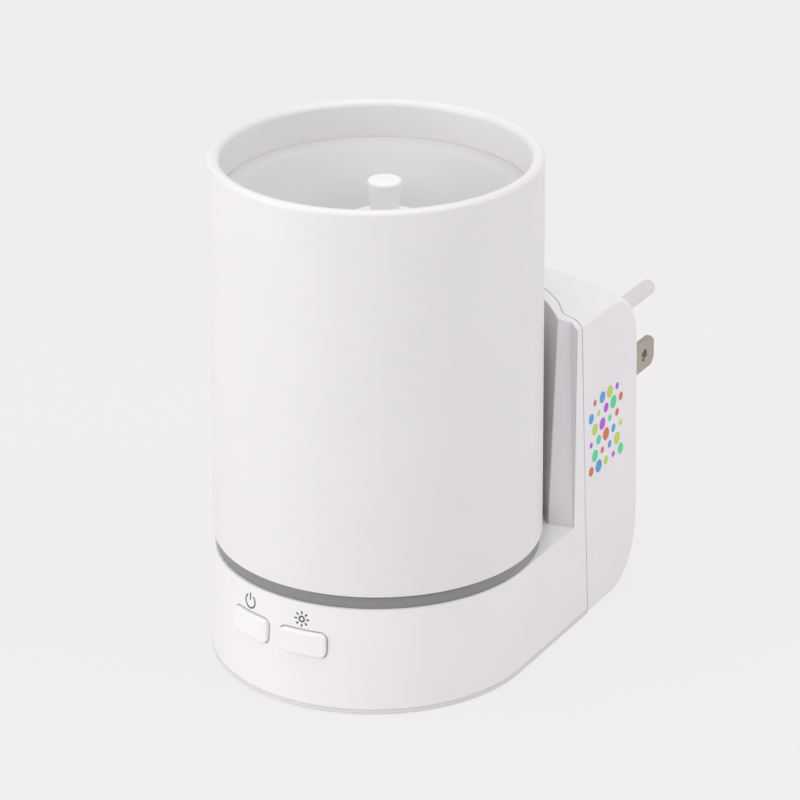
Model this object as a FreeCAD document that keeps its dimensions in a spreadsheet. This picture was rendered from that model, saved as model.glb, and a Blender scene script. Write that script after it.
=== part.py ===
"""Plug-in wax melt warmer: a tall shade over a D-shaped base, with a wall plug on the riser behind it.

Lengths are in millimetres and angles in degrees. The origin is on the floor plane, on the axis
of the shade. +Z is up, +Y points at the wall and +X is to the right of someone facing the wall.
"""
import FreeCAD, Part
import math
import os
import re
import Sketcher
from FreeCAD import Placement, Rotation, Vector

SIZES = {
    # Base
    "deck_height": 27.1,
    "deck_thickness": 2.0,
    "base_half_width": "shade_foot_radius",
    "side_draft": 0.95,
    "foot_lead": 1.9,
    "deck_lead": 0.4,
    "base_wall": 2.2,
    "plate_thickness": 1.2,
    "plate_step": 1.2,
    "plate_round": 0.35,
    "seat_gap": 0.2,
    "hole_clearance": 0.15,
    "overrun": 1.0,
    # Riser, front shell and rear cover
    "riser_height": 84.5,
    "crown_radius": 142.0,
    "crown_sweep": 100.0,
    "edge_inset": 12.8,
    "front_edge": "base_half_width - edge_inset",
    "front_draft": 2.2,
    "panel_foot": 7.6,
    "seam_foot": "front_edge + panel_foot",
    "seam_draft": 2.3,
    "seam_gap": 0.2,
    "slope_run": 3.2,
    "slope_rise": 2.4,
    "panel_thickness": 2.1,
    "panel_corner": 0.2,
    "land_tilt": 1.3,
    "seam_step": 1.0,
    "seam_step_run": 3.4,
    "cradle_gap": 2.2,
    "cradle_radius": "shade_foot_radius + cradle_gap",
    "cradle_draft": 2.8,
    "cover_deep": 32.9,
    "riser_back": "seam_foot + cover_deep",
    "back_corner": 7.1,
    "top_corner": 0.7,
    "foot_corner": 1.2,
    "back_round": 19.2,
    "cover_wall": 2.2,
    "cover_start": 3.6,
    "cover_front": "front_edge - cover_start",
    # Shade and accent ring
    "ring_inset": 0.74,
    "ring_radius": "shade_foot_radius - ring_inset",
    "ring_height": 3.25,
    "ring_width": 6.26,
    "ring_bore": "ring_radius - ring_width",
    "shade_flare": 0.4,
    "shade_foot_radius": "shade_radius + shade_flare",
    "shade_radius": 40.0,
    "shade_height": 97.35,
    "shade_wall": 3.1,
    "flange_width": 7.4,
    "shade_flange_bore": "shade_foot_radius - flange_width",
    "shade_flange_height": 3.0,
    "lip_outer_round": 0.8,
    "lip_inner_round": 1.2,
    "ledge_drop": 10.9,
    "ledge_width": 2.5,
    "ledge_height": 2.4,
    # Wax dish and its lifting post
    "dish_clearance": 0.3,
    "dish_rim_height": 1.3,
    "dish_wall": 1.6,
    "dish_depth": 8.9,
    "dish_lip_round": 0.6,
    "dish_floor_curve": 7.0,
    "post_right": 1.8,
    "post_back": 1.0,
    "post_foot_radius": 10.6,
    "post_foot_height": 1.2,
    "post_radius": 3.1,
    "post_head_radius": 4.25,
    "post_height": 11.5,
    "post_round": 0.7,
    # Heater stack
    "heater_gap": 0.3,
    "plate_inset": 15.0,
    "heater_plate_radius": "shade_radius - plate_inset",
    "heater_plate_thickness": 2.0,
    "heater_plate_round": 0.5,
    "element_length": 30.0,
    "element_width": 18.0,
    "element_height": 2.5,
    "pad_inset": 5.5,
    "pad_radius": "heater_plate_radius - pad_inset",
    "pad_height": 1.0,
    "pan_over": 1.5,
    "pan_radius": "heater_plate_radius + pan_over",
    "pan_wall": 1.2,
    "column_radius": 8.0,
    "column_bore": 5.5,
    "column_foot_radius": 15.0,
    "column_foot_height": 2.2,
    "column_head_inset": 1.0,
    "column_head_radius": "pan_radius - column_head_inset",
    "column_head_height": 2.0,
    "column_flare": 6.0,
    "column_screw_circle": 11.5,
    "rivet_inset": 4.0,
    "rivet_circle": "pan_radius - rivet_inset",
    "rivet_radius": 0.8,
    "rivet_head_radius": 1.6,
    "rivet_head_height": 0.6,
    "cutout_radius": 1.6,
    "cutout_length": 9.0,
    # Lamp board under the shade
    "lamp_board_gap": 1.1,
    "lamp_board_radius": "ring_bore - lamp_board_gap",
    "lamp_board_bore": 17.0,
    "board_thickness": 1.6,
    "lamp_inset": 5.8,
    "lamp_circle": "lamp_board_radius - lamp_inset",
    "lamp_side": 5.0,
    "lamp_height": 1.6,
    "lamp_lens_radius": 1.9,
    "lamp_lens_height": 0.4,
    "lamp_board_screw_circle": 20.6,
    "lamp_lead_right": -3.4,
    "lamp_lead_inset": 2.0,
    "lamp_lead_front": "lamp_circle - lamp_lead_inset",
    "lamp_lead_pitch": 2.0,
    # Push buttons
    "button_height": 17.0,
    "power_bearing": -109.4,
    "light_bearing": -86.6,
    "button_width": 12.2,
    "button_tall": 6.0,
    "button_corner": 1.6,
    "button_edge": 0.5,
    "button_proud": 0.95,
    "button_gap": 0.3,
    "button_flange_over": 0.9,
    "button_flange_depth": 1.1,
    "button_stem_side": 3.4,
    "switch_plunger_radius": 1.6,
    "switch_plunger_out": 1.2,
    "switch_plunger_in": 1.6,
    "switch_bore_depth": 2.8,
    "switch_inset": 6.4,
    "switch_face": "base_half_width - switch_inset",
    "switch_depth": 5.0,
    "switch_width": 6.2,
    "switch_tall": 6.4,
    # Control board
    "board_bearing": -98.0,
    "board_inset": 6.9,
    "board_front": "base_half_width - board_inset",
    "board_deep": 20.0,
    "board_wide": 30.0,
    "board_boss_inset": 16.3,
    "board_boss_from_axis": "board_front - board_boss_inset",
    "board_boss_aside": 12.0,
    "board_boss_radius": 2.6,
    "chip_side": 6.0,
    "chip_height": 1.5,
    # Power board in the riser
    "power_board_inset": 19.5,
    "power_board_front": "riser_back - power_board_inset",
    "power_board_side": 16.4,
    "power_board_half_width": "base_half_width - power_board_side",
    "power_board_low": 6.0,
    "power_board_tall": 36.0,
    "power_boss_inset": 4.0,
    "power_boss_aside": "power_board_half_width - power_boss_inset",
    "power_boss_height": 34.0,
    "power_tab_margin": 2.6,
    "power_tab_tall": 7.0,
    "power_boss_radius": 2.8,
    "transformer_inset": 3.0,
    "transformer_left": "transformer_inset - power_board_half_width",
    "transformer_low": 12.0,
    "transformer_side": 16.0,
    "transformer_deep": 12.6,
    "core_inset": 2.5,
    "capacitor_radius": 4.0,
    "capacitor_length": 11.0,
    "capacitor_gap": 8.0,
    "capacitor_right": "transformer_left + transformer_side + capacitor_gap",
    "capacitor_height": 20.0,
    "film_gap": 6.0,
    "film_right": "capacitor_right + film_gap",
    "film_width": 12.0,
    "film_deep": 9.0,
    "film_low": 22.0,
    "film_tall": 8.0,
    # Wall plug
    "plug_inset": 14.25,
    "plug_centre": "base_half_width - plug_inset",
    "plug_height": 52.6,
    "blade_spacing": 12.7,
    "blade_thickness": 1.5,
    "live_width": 6.35,
    "neutral_width": 7.94,
    "blade_out": 17.5,
    "blade_in": 11.0,
    "blade_hole_radius": 1.6,
    "blade_hole_from_face": 11.9,
    "blade_tip_chamfer": 1.6,
    "earth_rise": 11.86,
    "earth_radius": 2.1,
    "earth_shoulder_radius": 2.4,
    "earth_out": 29.6,
    "earth_collar_radius": 3.4,
    "earth_collar_height": 1.4,
    "plug_fit": 0.05,
    "carrier_half_width": 9.9,
    "carrier_left": "plug_centre - carrier_half_width",
    "carrier_right": "plug_centre + carrier_half_width",
    "carrier_below": 7.6,
    "carrier_low": "plug_height - carrier_below",
    "carrier_above": 16.4,
    "carrier_high": "plug_height + carrier_above",
    "carrier_deep": 8.0,
    "carrier_flange": 1.6,
    "carrier_flange_thickness": 1.4,
    "carrier_corner": 2.0,
    # Leads
    "lead_radius": 0.8,
    "lead_bend": 4.0,
    "heater_lead_drop": 7.1,
    "heater_lead_height": "deck_height - heater_lead_drop",
    "heater_lead_aside": 2.6,
    "mains_lead_drop": 12.6,
    "mains_lead_low": "plug_height - mains_lead_drop",
    "ribbon_left": -12.0,
    "ribbon_width": 6.0,
    "ribbon_thickness": 0.8,
    "ribbon_lap": 3.0,
    # Screws and bosses
    "screw_radius": 1.5,
    "small_screw_radius": 1.1,
    "screw_fit": 0.05,
    "screw_head_radius": 2.7,
    "small_screw_head_radius": 2.1,
    "screw_head_height": 1.6,
    "plate_screw_head_height": 1.0,
    "screw_recess": 0.6,
    "boss_radius": 3.2,
    "small_boss_radius": 2.4,
    "small_boss_depth": 3.4,
    "shade_screw_inset": 5.4,
    "shade_screw_circle": "shade_foot_radius - shade_screw_inset",
    "front_boss_right_share": 0.594,
    "front_boss_right": "base_half_width * front_boss_right_share",
    "front_boss_forward_share": 0.557,
    "front_boss_forward": "base_half_width * front_boss_forward_share",
    "front_boss_left_share": -0.718,
    "front_boss_left": "base_half_width * front_boss_left_share",
    "left_forward_share": 0.421,
    "front_boss_left_forward": "base_half_width * left_forward_share",
    "rear_boss_inset": 9.4,
    "rear_boss_aside": "base_half_width - rear_boss_inset",
    "rear_boss_forward": 5.6,
    "rear_boss_back": "front_edge - rear_boss_forward",
    "plate_screw_bite": 8.0,
    "cover_boss_low": 27.0,
    "cover_boss_high": 60.0,
    "cover_boss_inset": 9.8,
    "cover_boss_aside": "base_half_width - cover_boss_inset",
    "cover_boss_middle": 7.0,
    "cover_screw_length": 12.0,
    "boss_split_inset": 10.1,
    "cover_boss_split": "riser_back - boss_split_inset",
    "cover_recess_depth": 1.9,
}

doc = FreeCAD.newDocument("wax_melt_warmer")
sheet = doc.addObject("Spreadsheet::Sheet", "sizes")
for row, (size_name, size) in enumerate(SIZES.items(), 1):
    sheet.set(f"A{row}", size_name)
    sheet.set(f"B{row}", "0")
    sheet.setAlias(f"B{row}", size_name)
for row, size in enumerate(SIZES.values(), 1):
    sheet.set(f"B{row}", f"={size}")
doc.recompute()

NODES = {}
RIGHT = Vector(1, 0, 0)
BACK = Vector(0, 1, 0)
UP = Vector(0, 0, 1)
UPRIGHT = Rotation()
FACING_BACK = Rotation(RIGHT, -90)
FACING_FRONT = Rotation(RIGHT, 90)
FACING_DOWN = Rotation(RIGHT, 180)


def formula(text):
    """The text as an expression whose size names point at the sheet."""
    return re.sub(r"[a-z][a-z_]+", lambda word: f"sizes.{word[0]}" if word[0] in SIZES else word[0], text)


def number(text):
    """What an expression comes to."""
    return float(sheet.evalExpression(formula(text)))


def bind(item, property_name, text):
    """Ties a property of an object to an expression of the sizes."""
    item.setExpression(property_name, formula(text))


def node(name, item):
    """Marks an object as one of the separate pieces of the product."""
    item.Label = name
    NODES[name] = item
    return item


def place(item, x="0", y="0", z="0", turned=UPRIGHT):
    """Puts an object at a place written in sizes, turned as asked."""
    item.Placement = Placement(Vector(number(x), number(y), number(z)), turned)
    for axis, text in zip("xyz", (x, y, z)):
        bind(item, f"Placement.Base.{axis}", text)
    return item


def at_bearing(item, bearing, z="0", x="0", y="0"):
    """Turns an object about the vertical to a bearing written in sizes and lifts it to its height."""
    place(item, x, y, z, Rotation(UP, number(bearing)))
    bind(item, "Placement.Rotation.Angle", f"{bearing} * 1 deg")
    return item


def rod(name, radius, length, x="0", y="0", z="0", turned=UPRIGHT):
    """A round bar."""
    bar = doc.addObject("Part::Cylinder", name)
    bind(bar, "Radius", radius)
    bind(bar, "Height", length)
    return place(bar, x, y, z, turned)


def block(name, low, high):
    """A rectangular block between two corners."""
    brick = doc.addObject("Part::Box", name)
    for property_name, first, last in zip(("Length", "Width", "Height"), low, high):
        bind(brick, property_name, f"({last}) - ({first})")
    return place(brick, *low)


def joined(name, *items):
    """Several shapes as one solid."""
    union = doc.addObject("Part::MultiFuse", name)
    union.Shapes = list(items)
    union.Refine = True
    return union


def grouped(name, items):
    """Several separate solids kept together."""
    group = doc.addObject("Part::Compound", name)
    group.Links = list(items)
    return group


def shared(name, *items):
    """What several shapes have in common."""
    overlap = doc.addObject("Part::MultiCommon", name)
    overlap.Shapes = list(items)
    return overlap


def trimmed(name, item, *tools):
    """A shape with the tools taken out of it."""
    tool = tools[0] if len(tools) == 1 else joined(f"{name}_tools", *tools)
    remainder = doc.addObject("Part::Cut", name)
    remainder.Base = item
    remainder.Tool = tool
    remainder.Refine = True
    return remainder


def body(name):
    """An empty solid to be built from sketched features."""
    return doc.addObject("PartDesign::Body", name)


def sketch(part, name, role, offset="0", rise="0"):
    """A sketch on one of a body's own planes, lifted off it or raised within it."""
    drawing = part.newObject("Sketcher::SketchObject", name)
    drawing.AttachmentSupport = [(next(f for f in part.Origin.OriginFeatures if f.Role == role), "")]
    drawing.MapMode = "FlatFace"
    bind(drawing, "AttachmentOffset.Base.z", offset)
    bind(drawing, "AttachmentOffset.Base.y", rise)
    return drawing


def arc_between(start, end, radius, side):
    """A circular arc between two points, its centre to the left (1) or right (-1) of the way."""
    middle = (start + end) / 2
    chord = end - start
    reach = math.sqrt(max(radius ** 2 - chord.Length ** 2 / 4, 0))
    centre = middle + Vector(-chord.y, chord.x, 0).normalize() * reach * side
    first, last = (start, end) if side > 0 else (end, start)
    angles = [math.atan2(point.y - centre.y, point.x - centre.x) for point in (first, last)]
    if angles[1] < angles[0]:
        angles[1] += 2 * math.pi
    return Part.ArcOfCircle(Part.Circle(centre, UP, radius), *angles)


def pin_down(drawing, edge, end, corner):
    """Holds one end of an edge at a corner written in sizes."""
    for kind, axis, text in (("DistanceX", -2, corner[0]), ("DistanceY", -1, corner[1])):
        if text == "0":
            drawing.addConstraint(Sketcher.Constraint("PointOnObject", edge, end, axis))
        else:
            index = drawing.addConstraint(Sketcher.Constraint(kind, -1, 1, edge, end, number(text)))
            drawing.setExpression(f"Constraints[{index}]", formula(text))


def trace(drawing, corners, closed=True):
    """Draws an outline. A corner is (x, y), or (x, y, radius, side) where an arc leaves it."""
    points = [Vector(number(corner[0]), number(corner[1]), 0) for corner in corners]
    spans = len(corners) if closed else len(corners) - 1
    ends = []
    for index in range(spans):
        start, end = points[index], points[(index + 1) % len(points)]
        if len(corners[index]) == 4:
            radius, side = corners[index][2:]
            edge = drawing.addGeometry(arc_between(start, end, number(radius), side))
            held = drawing.addConstraint(Sketcher.Constraint("Radius", edge, number(radius)))
            drawing.setExpression(f"Constraints[{held}]", formula(radius))
            ends.append((edge, 1, 2) if side > 0 else (edge, 2, 1))
        else:
            edge = drawing.addGeometry(Part.LineSegment(start, end))
            ends.append((edge, 1, 2))
    for index, (edge, start, end) in enumerate(ends):
        pin_down(drawing, edge, start, corners[index])
        if closed or index + 1 < spans:
            following = ends[(index + 1) % spans]
            drawing.addConstraint(Sketcher.Constraint("Coincident", edge, end, following[0], following[1]))
    if not closed:
        pin_down(drawing, ends[-1][0], ends[-1][2], corners[-1])
    return drawing


def feature(part, kind, name, profile, **settings):
    """A sketched feature of a body, recomputed and made its tip."""
    made = part.newObject(f"PartDesign::{kind}", name)
    made.Profile = (profile, [""])
    for setting, wanted in settings.items():
        setattr(made, setting, wanted)
    return made


def padded(part, name, profile, length, **settings):
    """A sketch pulled straight out by a length."""
    made = feature(part, "Pad", name, profile, **settings)
    bind(made, "Length", length)
    return made


def turned_piece(name, corners):
    """A round solid from its half section, given as radius and height."""
    part = body(name)
    profile = trace(sketch(part, f"{name}_section", "XZ_Plane"), corners)
    feature(part, "Revolution", f"{name}_turn", profile, ReferenceAxis=(profile, ["V_Axis"]), Angle=360.0)
    return part


def lofted_piece(name, levels, outline):
    """A solid with straight sides between an outline at a low height and at a high one."""
    part = body(name)
    drawings = [trace(sketch(part, f"{name}_at_{index}", "XY_Plane", level), outline(level))
                for index, level in enumerate(levels)]
    feature(part, "AdditiveLoft", f"{name}_sides", drawings[0], Sections=[(drawings[1], [""])], Ruled=True)
    return part


def rounded_bar(name, near, far, width, tall, corner):
    """A bar along X with a rounded rectangular section centred on its axis."""
    part = body(name)
    half, rise = f"({width}) / 2", f"({tall}) / 2"
    inner, lower = f"({half}) - ({corner})", f"({rise}) - ({corner})"
    corners = [(inner, f"-({rise})", corner, 1), (half, f"-({lower})"), (half, lower, corner, 1), (inner, rise),
               (f"-({inner})", rise, corner, 1), (f"-({half})", lower), (f"-({half})", f"-({lower})", corner, 1),
               (f"-({inner})", f"-({rise})")]
    profile = trace(sketch(part, f"{name}_section", "YZ_Plane", near), corners)
    padded(part, f"{name}_length", profile, f"({far}) - ({near})")
    return part


def rounded_edges(name, item, radius, chosen):
    """A shape with the edges that a test picks rounded."""
    doc.recompute()
    made = doc.addObject("Part::Fillet", name)
    made.Base = item
    size = number(radius)
    made.Edges = [(index, size, size) for index, edge in enumerate(item.Shape.Edges, 1) if chosen(edge)]
    return made


def screw(name, x, y, z, turned, length, radius="screw_radius", head="screw_head_radius", tall="screw_head_height"):
    """A screw whose head sits on (x, y, z) and whose shank runs on from there."""
    head_at = turned.multVec(UP) * -1
    shank = rod(f"{name}_shank", radius, length, x, y, z, turned)
    cap = rod(f"{name}_head", head, tall, *(f"({start}) + ({part}) * {tall}" for start, part in
                                             zip((x, y, z), head_at)), turned)
    return joined(name, shank, cap)


def on_circle(radius, count, first):
    """Places spread evenly round a circle, from a first bearing."""
    return [(f"{radius} * cos({first + index * 360 / count})", f"{radius} * sin({first + index * 360 / count})")
            for index in range(count)]


def half_width(height):
    """Half the width of the base and riser at a height."""
    return f"(base_half_width - ({height}) * tan(side_draft))"


def seam(height):
    """How far back the joint between the front shell and the rear cover lies."""
    return f"(seam_foot - ({height}) * tan(seam_draft))"


def front(height):
    """How far back the front edge of the riser lies."""
    return f"(front_edge + (({height}) - deck_height) * tan(front_draft))"


def cradle(height):
    """Radius of the hollow in the riser that goes round the shade."""
    return f"(cradle_radius + (({height}) - deck_height) * tan(cradle_draft))"


def lead(height):
    """How far forward the centre of the base's round front lies."""
    return f"(foot_lead + (deck_lead - foot_lead) * (({height}) - plate_thickness) / (deck_height - plate_thickness))"


def d_outline(width, forward, back):
    """A half round front with straight sides."""
    return [(width, back), (f"-({width})", back), (f"-({width})", f"-({forward})", width, 1),
            ("0", f"-({forward}) - ({width})", width, 1), (width, f"-({forward})")]


def rear_outline(height):
    """Right half of the joint between front shell and rear cover, from the middle outward, with its small step."""
    wide, edge, bow = half_width(height), front(height), cradle(height)
    land = f"({edge} + slope_rise + panel_thickness)"
    corner = f"sqrt(({bow} + panel_thickness)^2 - {land}^2)"
    turn = f"({bow} + panel_thickness + seam_step)"
    step = f"({corner} - seam_step_run)"
    places = [(step, f"sqrt({turn}^2 - {step}^2)"), (corner, land), (f"({wide} - slope_run + panel_corner)", land),
              (wide, seam(height))]
    return places, turn


def panel_outline(height):
    """Section of the riser's front shell: two lands, and between them the cradle round the shade."""
    wide, edge, bow = half_width(height), front(height), cradle(height)
    share = f"((({height}) - {DECK_UNDER} + panel_thickness) / (riser_height - {DECK_UNDER} + panel_thickness))"
    inset = f"({wide} - slope_run * {share})"
    land = f"({edge} + slope_rise * {share})"
    inner = f"({land} - land_tilt)"
    corner = f"sqrt({bow}^2 - {inner}^2)"
    places, turn = rear_outline(height)
    rear = [(f"-({x})", y) for x, y in reversed(places)]
    return [(wide, edge), (inset, land), (corner, inner, bow, 1), (f"-({corner})", inner), (f"-({inset})", land),
            (f"-({wide})", edge), *rear[:-1], (*rear[-1], turn, -1), *places]


def seam_outline(height):
    """Everything in front of the joint between the front shell and the rear cover."""
    beyond = f"({half_width(height)} + overrun)"
    places, turn = rear_outline(height)
    right = places[::-1]
    left = [(f"-({x})", y) for x, y in places]
    return [(beyond, "0"), (beyond, seam(height)), *right[:-1], (*right[-1], turn, 1), *left,
            (f"-({beyond})", seam(height)), (f"-({beyond})", "0")]


DECK_UNDER = "(deck_height - deck_thickness)"
RISER_ABOVE = "(riser_height + overrun)"
BASE_INNER = "(base_half_width - deck_height * tan(side_draft) - base_wall)"
HOLLOW_LEAD = lead("button_height")
CROWN_AXIS = "(riser_height - crown_radius)"
PLATE_TOP = "(plate_thickness + plate_step)"
SHADE_FOOT = "(deck_height + ring_height)"
SHADE_TOP = f"({SHADE_FOOT} + shade_height)"
LEDGE_TOP = f"({SHADE_TOP} - ledge_drop)"
DISH_RIM_UNDER = f"({LEDGE_TOP} + dish_clearance)"
DISH_RIM_TOP = f"({DISH_RIM_UNDER} + dish_rim_height)"
DISH_FLOOR = f"({DISH_RIM_TOP} - dish_depth)"
DISH_UNDER = f"({DISH_FLOOR} - dish_wall)"
PLATE_OVER = f"({DISH_UNDER} - heater_gap)"
PLATE_UNDER = f"({PLATE_OVER} - heater_plate_thickness)"
ELEMENT_UNDER = f"({PLATE_UNDER} - element_height)"
PAD_UNDER = f"({ELEMENT_UNDER} - pad_height)"
PAN_UNDER = f"({PAD_UNDER} - pan_wall)"
HEAD_UNDER = f"({PAN_UNDER} - column_head_height)"
LAMP_BOARD_TOP = "(deck_height + board_thickness)"
BUTTON_CENTRE_Y = f"-{lead('button_height')}"
BUTTON_WALL = half_width("button_height")
SWITCH_LOW = "(button_height - switch_tall / 2)"
BOARD_LOW = f"({SWITCH_LOW} - board_thickness)"
BUTTON_BACK = f"({BASE_INNER} - button_gap - button_flange_depth)"
POWER_BOARD_BACK = "(power_board_front + board_thickness)"
COVER_INNER_BACK = "(riser_back - cover_wall)"
CARRIER_FRONT = "(riser_back - carrier_deep)"
NEUTRAL_X = "(plug_centre + blade_spacing / 2)"
LIVE_X = "(plug_centre - blade_spacing / 2)"
EARTH_Z = "(plug_height + earth_rise)"

SHADE_SCREWS = on_circle("shade_screw_circle", 3, 60)
COLUMN_SCREWS = on_circle("column_screw_circle", 3, 90)
LAMP_BOARD_SCREWS = on_circle("lamp_board_screw_circle", 3, 30)
LAMPS = on_circle("lamp_circle", 6, 0)
RIVETS = on_circle("rivet_circle", 3, 30)
PLATE_SCREWS = [("front_boss_right", "-front_boss_forward"), ("front_boss_left", "-front_boss_left_forward"),
                ("rear_boss_aside", "rear_boss_back"), ("-rear_boss_aside", "rear_boss_back")]
COVER_SCREWS = [("-cover_boss_aside", "cover_boss_low"), ("cover_boss_aside", "cover_boss_low"),
                ("-cover_boss_aside", "cover_boss_high"), ("cover_boss_middle", "cover_boss_high")]
BUTTONS = {"power": "power_bearing", "light": "light_bearing"}
BOARD_BOSSES = [(f"board_boss_from_axis * cos(board_bearing) - ({side}board_boss_aside) * sin(board_bearing)",
                 f"{BUTTON_CENTRE_Y} + board_boss_from_axis * sin(board_bearing)"
                 f" + ({side}board_boss_aside) * cos(board_bearing)") for side in ("", "-")]


def base_housing():
    """The D-shaped base with its deck and the riser's front shell, moulded as one piece."""
    walls = lofted_piece("base_walls", ("plate_thickness", DECK_UNDER),
                         lambda z: d_outline(half_width(z), lead(z), seam(z)))
    deck = lofted_piece("base_deck", (DECK_UNDER, "deck_height"),
                        lambda z: d_outline(half_width(z), lead(z), "front_edge + slope_rise + panel_corner"))
    hollow = body("base_hollow")
    drawing = trace(sketch(hollow, "base_hollow_outline", "XY_Plane"),
                    d_outline(BASE_INNER, HOLLOW_LEAD, "seam_foot + overrun"))
    padded(hollow, "base_hollow_height", drawing, DECK_UNDER)
    tongue = shared("deck_tongue",
                    rod("tongue_disc", "cradle_radius + overrun", "deck_thickness", z=DECK_UNDER),
                    block("tongue_limit", ("-front_edge", "front_edge", DECK_UNDER),
                          ("front_edge", "cradle_radius + panel_thickness", "deck_height")))
    panel = lofted_piece("riser_panel_sides", (DECK_UNDER, RISER_ABOVE), panel_outline)
    crowned = shared("riser_panel", panel,
                     rod("crown", "crown_radius", "riser_back", z=CROWN_AXIS, turned=FACING_BACK))
    shell = trimmed("base_shell", walls, hollow)
    bosses = [rod(f"plate_boss_{index}", "boss_radius", f"{DECK_UNDER} - {PLATE_TOP} + deck_thickness / 2", x, y,
                  PLATE_TOP) for index, (x, y) in enumerate(PLATE_SCREWS)]
    bosses += [rod(f"board_boss_{index}", "board_boss_radius",
                   f"{DECK_UNDER} - {BOARD_LOW} - board_thickness + deck_thickness / 2", x, y,
                   f"{BOARD_LOW} + board_thickness") for index, (x, y) in enumerate(BOARD_BOSSES)]
    bosses += [rod(f"lamp_board_boss_{index}", "small_boss_radius", "small_boss_depth + deck_thickness / 2", x, y,
                   f"{DECK_UNDER} - small_boss_depth") for index, (x, y) in enumerate(LAMP_BOARD_SCREWS)]
    split = "(cover_boss_split - seam_gap)"
    bosses += [rod(f"panel_boss_{index}", "boss_radius", f"{split} - {land}", x, land, z, FACING_BACK)
               for index, (x, z) in enumerate(COVER_SCREWS)
               for land in (f"(sqrt({cradle(z)}^2 - (abs({x}) - boss_radius)^2) + panel_thickness / 2)",)]
    whole = joined("base_moulding", shell, deck, tongue, crowned, *bosses)
    reach = "overrun"
    tools = [rod("lead_hole", "column_bore", f"deck_thickness + 2 * {reach}", z=f"{DECK_UNDER} - {reach}")]
    tools += [rod(f"shade_screw_hole_{index}", "screw_radius + hole_clearance", f"deck_thickness + 2 * {reach}", x, y,
                  f"{DECK_UNDER} - {reach}") for index, (x, y) in enumerate(SHADE_SCREWS)]
    tools += [rod(f"column_screw_hole_{index}", "screw_radius + hole_clearance", f"deck_thickness + 2 * {reach}", x,
                  y, f"{DECK_UNDER} - {reach}") for index, (x, y) in enumerate(COLUMN_SCREWS)]
    tools += [rod(f"lamp_screw_hole_{index}", "small_screw_radius + screw_fit",
                  f"small_boss_depth + deck_thickness + {reach}", x, y, f"{DECK_UNDER} - small_boss_depth")
              for index, (x, y) in enumerate(LAMP_BOARD_SCREWS)]
    tools += [rod(f"plate_screw_hole_{index}", "screw_radius + screw_fit", f"plate_screw_bite + {reach}", x, y,
                  PLATE_TOP) for index, (x, y) in enumerate(PLATE_SCREWS)]
    tools += [rod(f"board_screw_hole_{index}", "small_screw_radius + screw_fit", "small_boss_depth + overrun", x, y,
                  f"{BOARD_LOW} + board_thickness") for index, (x, y) in enumerate(BOARD_BOSSES)]
    tools += [rod(f"cover_screw_hole_{index}", "screw_radius + screw_fit", f"cover_screw_length + {reach}", x,
                  f"{split} - cover_screw_length", z, FACING_BACK) for index, (x, z) in enumerate(COVER_SCREWS)]
    tools += [rod("lamp_lead_hole", "lamp_lead_pitch", f"deck_thickness + 2 * {reach}", "lamp_lead_right",
                  "-lamp_lead_front", f"{DECK_UNDER} - {reach}")]
    for name, bearing in BUTTONS.items():
        window = rounded_bar(f"{name}_window", f"{BASE_INNER} - {reach}", f"{BUTTON_WALL} + 2 * {reach}",
                             "button_width + 2 * button_gap", "button_tall + 2 * button_gap",
                             "button_corner + button_gap")
        tools.append(at_bearing(window, bearing, "button_height", y=BUTTON_CENTRE_Y))
    return node("base_housing", trimmed("base_housing", whole, *tools))


def bottom_plate():
    """The thin closing plate under the base, with a step that fits inside its wall."""
    plate = body("plate_slab")
    edge = trace(sketch(plate, "plate_outline", "XY_Plane"), d_outline("base_half_width", "foot_lead", "seam_foot"))
    padded(plate, "plate_slab_height", edge, "plate_thickness")
    step = trace(sketch(plate, "plate_step_outline", "XY_Plane", "plate_thickness"),
                 d_outline(f"{BASE_INNER} - seat_gap", HOLLOW_LEAD, "seam_foot - base_wall"))
    padded(plate, "plate_step_height", step, "plate_step")
    softened = rounded_edges("plate_rounded", plate, "plate_round",
                             lambda edge: edge.BoundBox.ZMax < number("overrun") / 2)
    tools = []
    for index, (x, y) in enumerate(PLATE_SCREWS):
        tools.append(rod(f"plate_hole_{index}", "screw_radius + hole_clearance", f"{PLATE_TOP} + overrun", x, y,
                         "-overrun / 2"))
        tools.append(rod(f"plate_recess_{index}", "screw_head_radius + hole_clearance",
                         "plate_screw_head_height + screw_recess + overrun", x, y, "-overrun"))
    return node("bottom_plate", trimmed("bottom_plate", softened, *tools))


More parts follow.
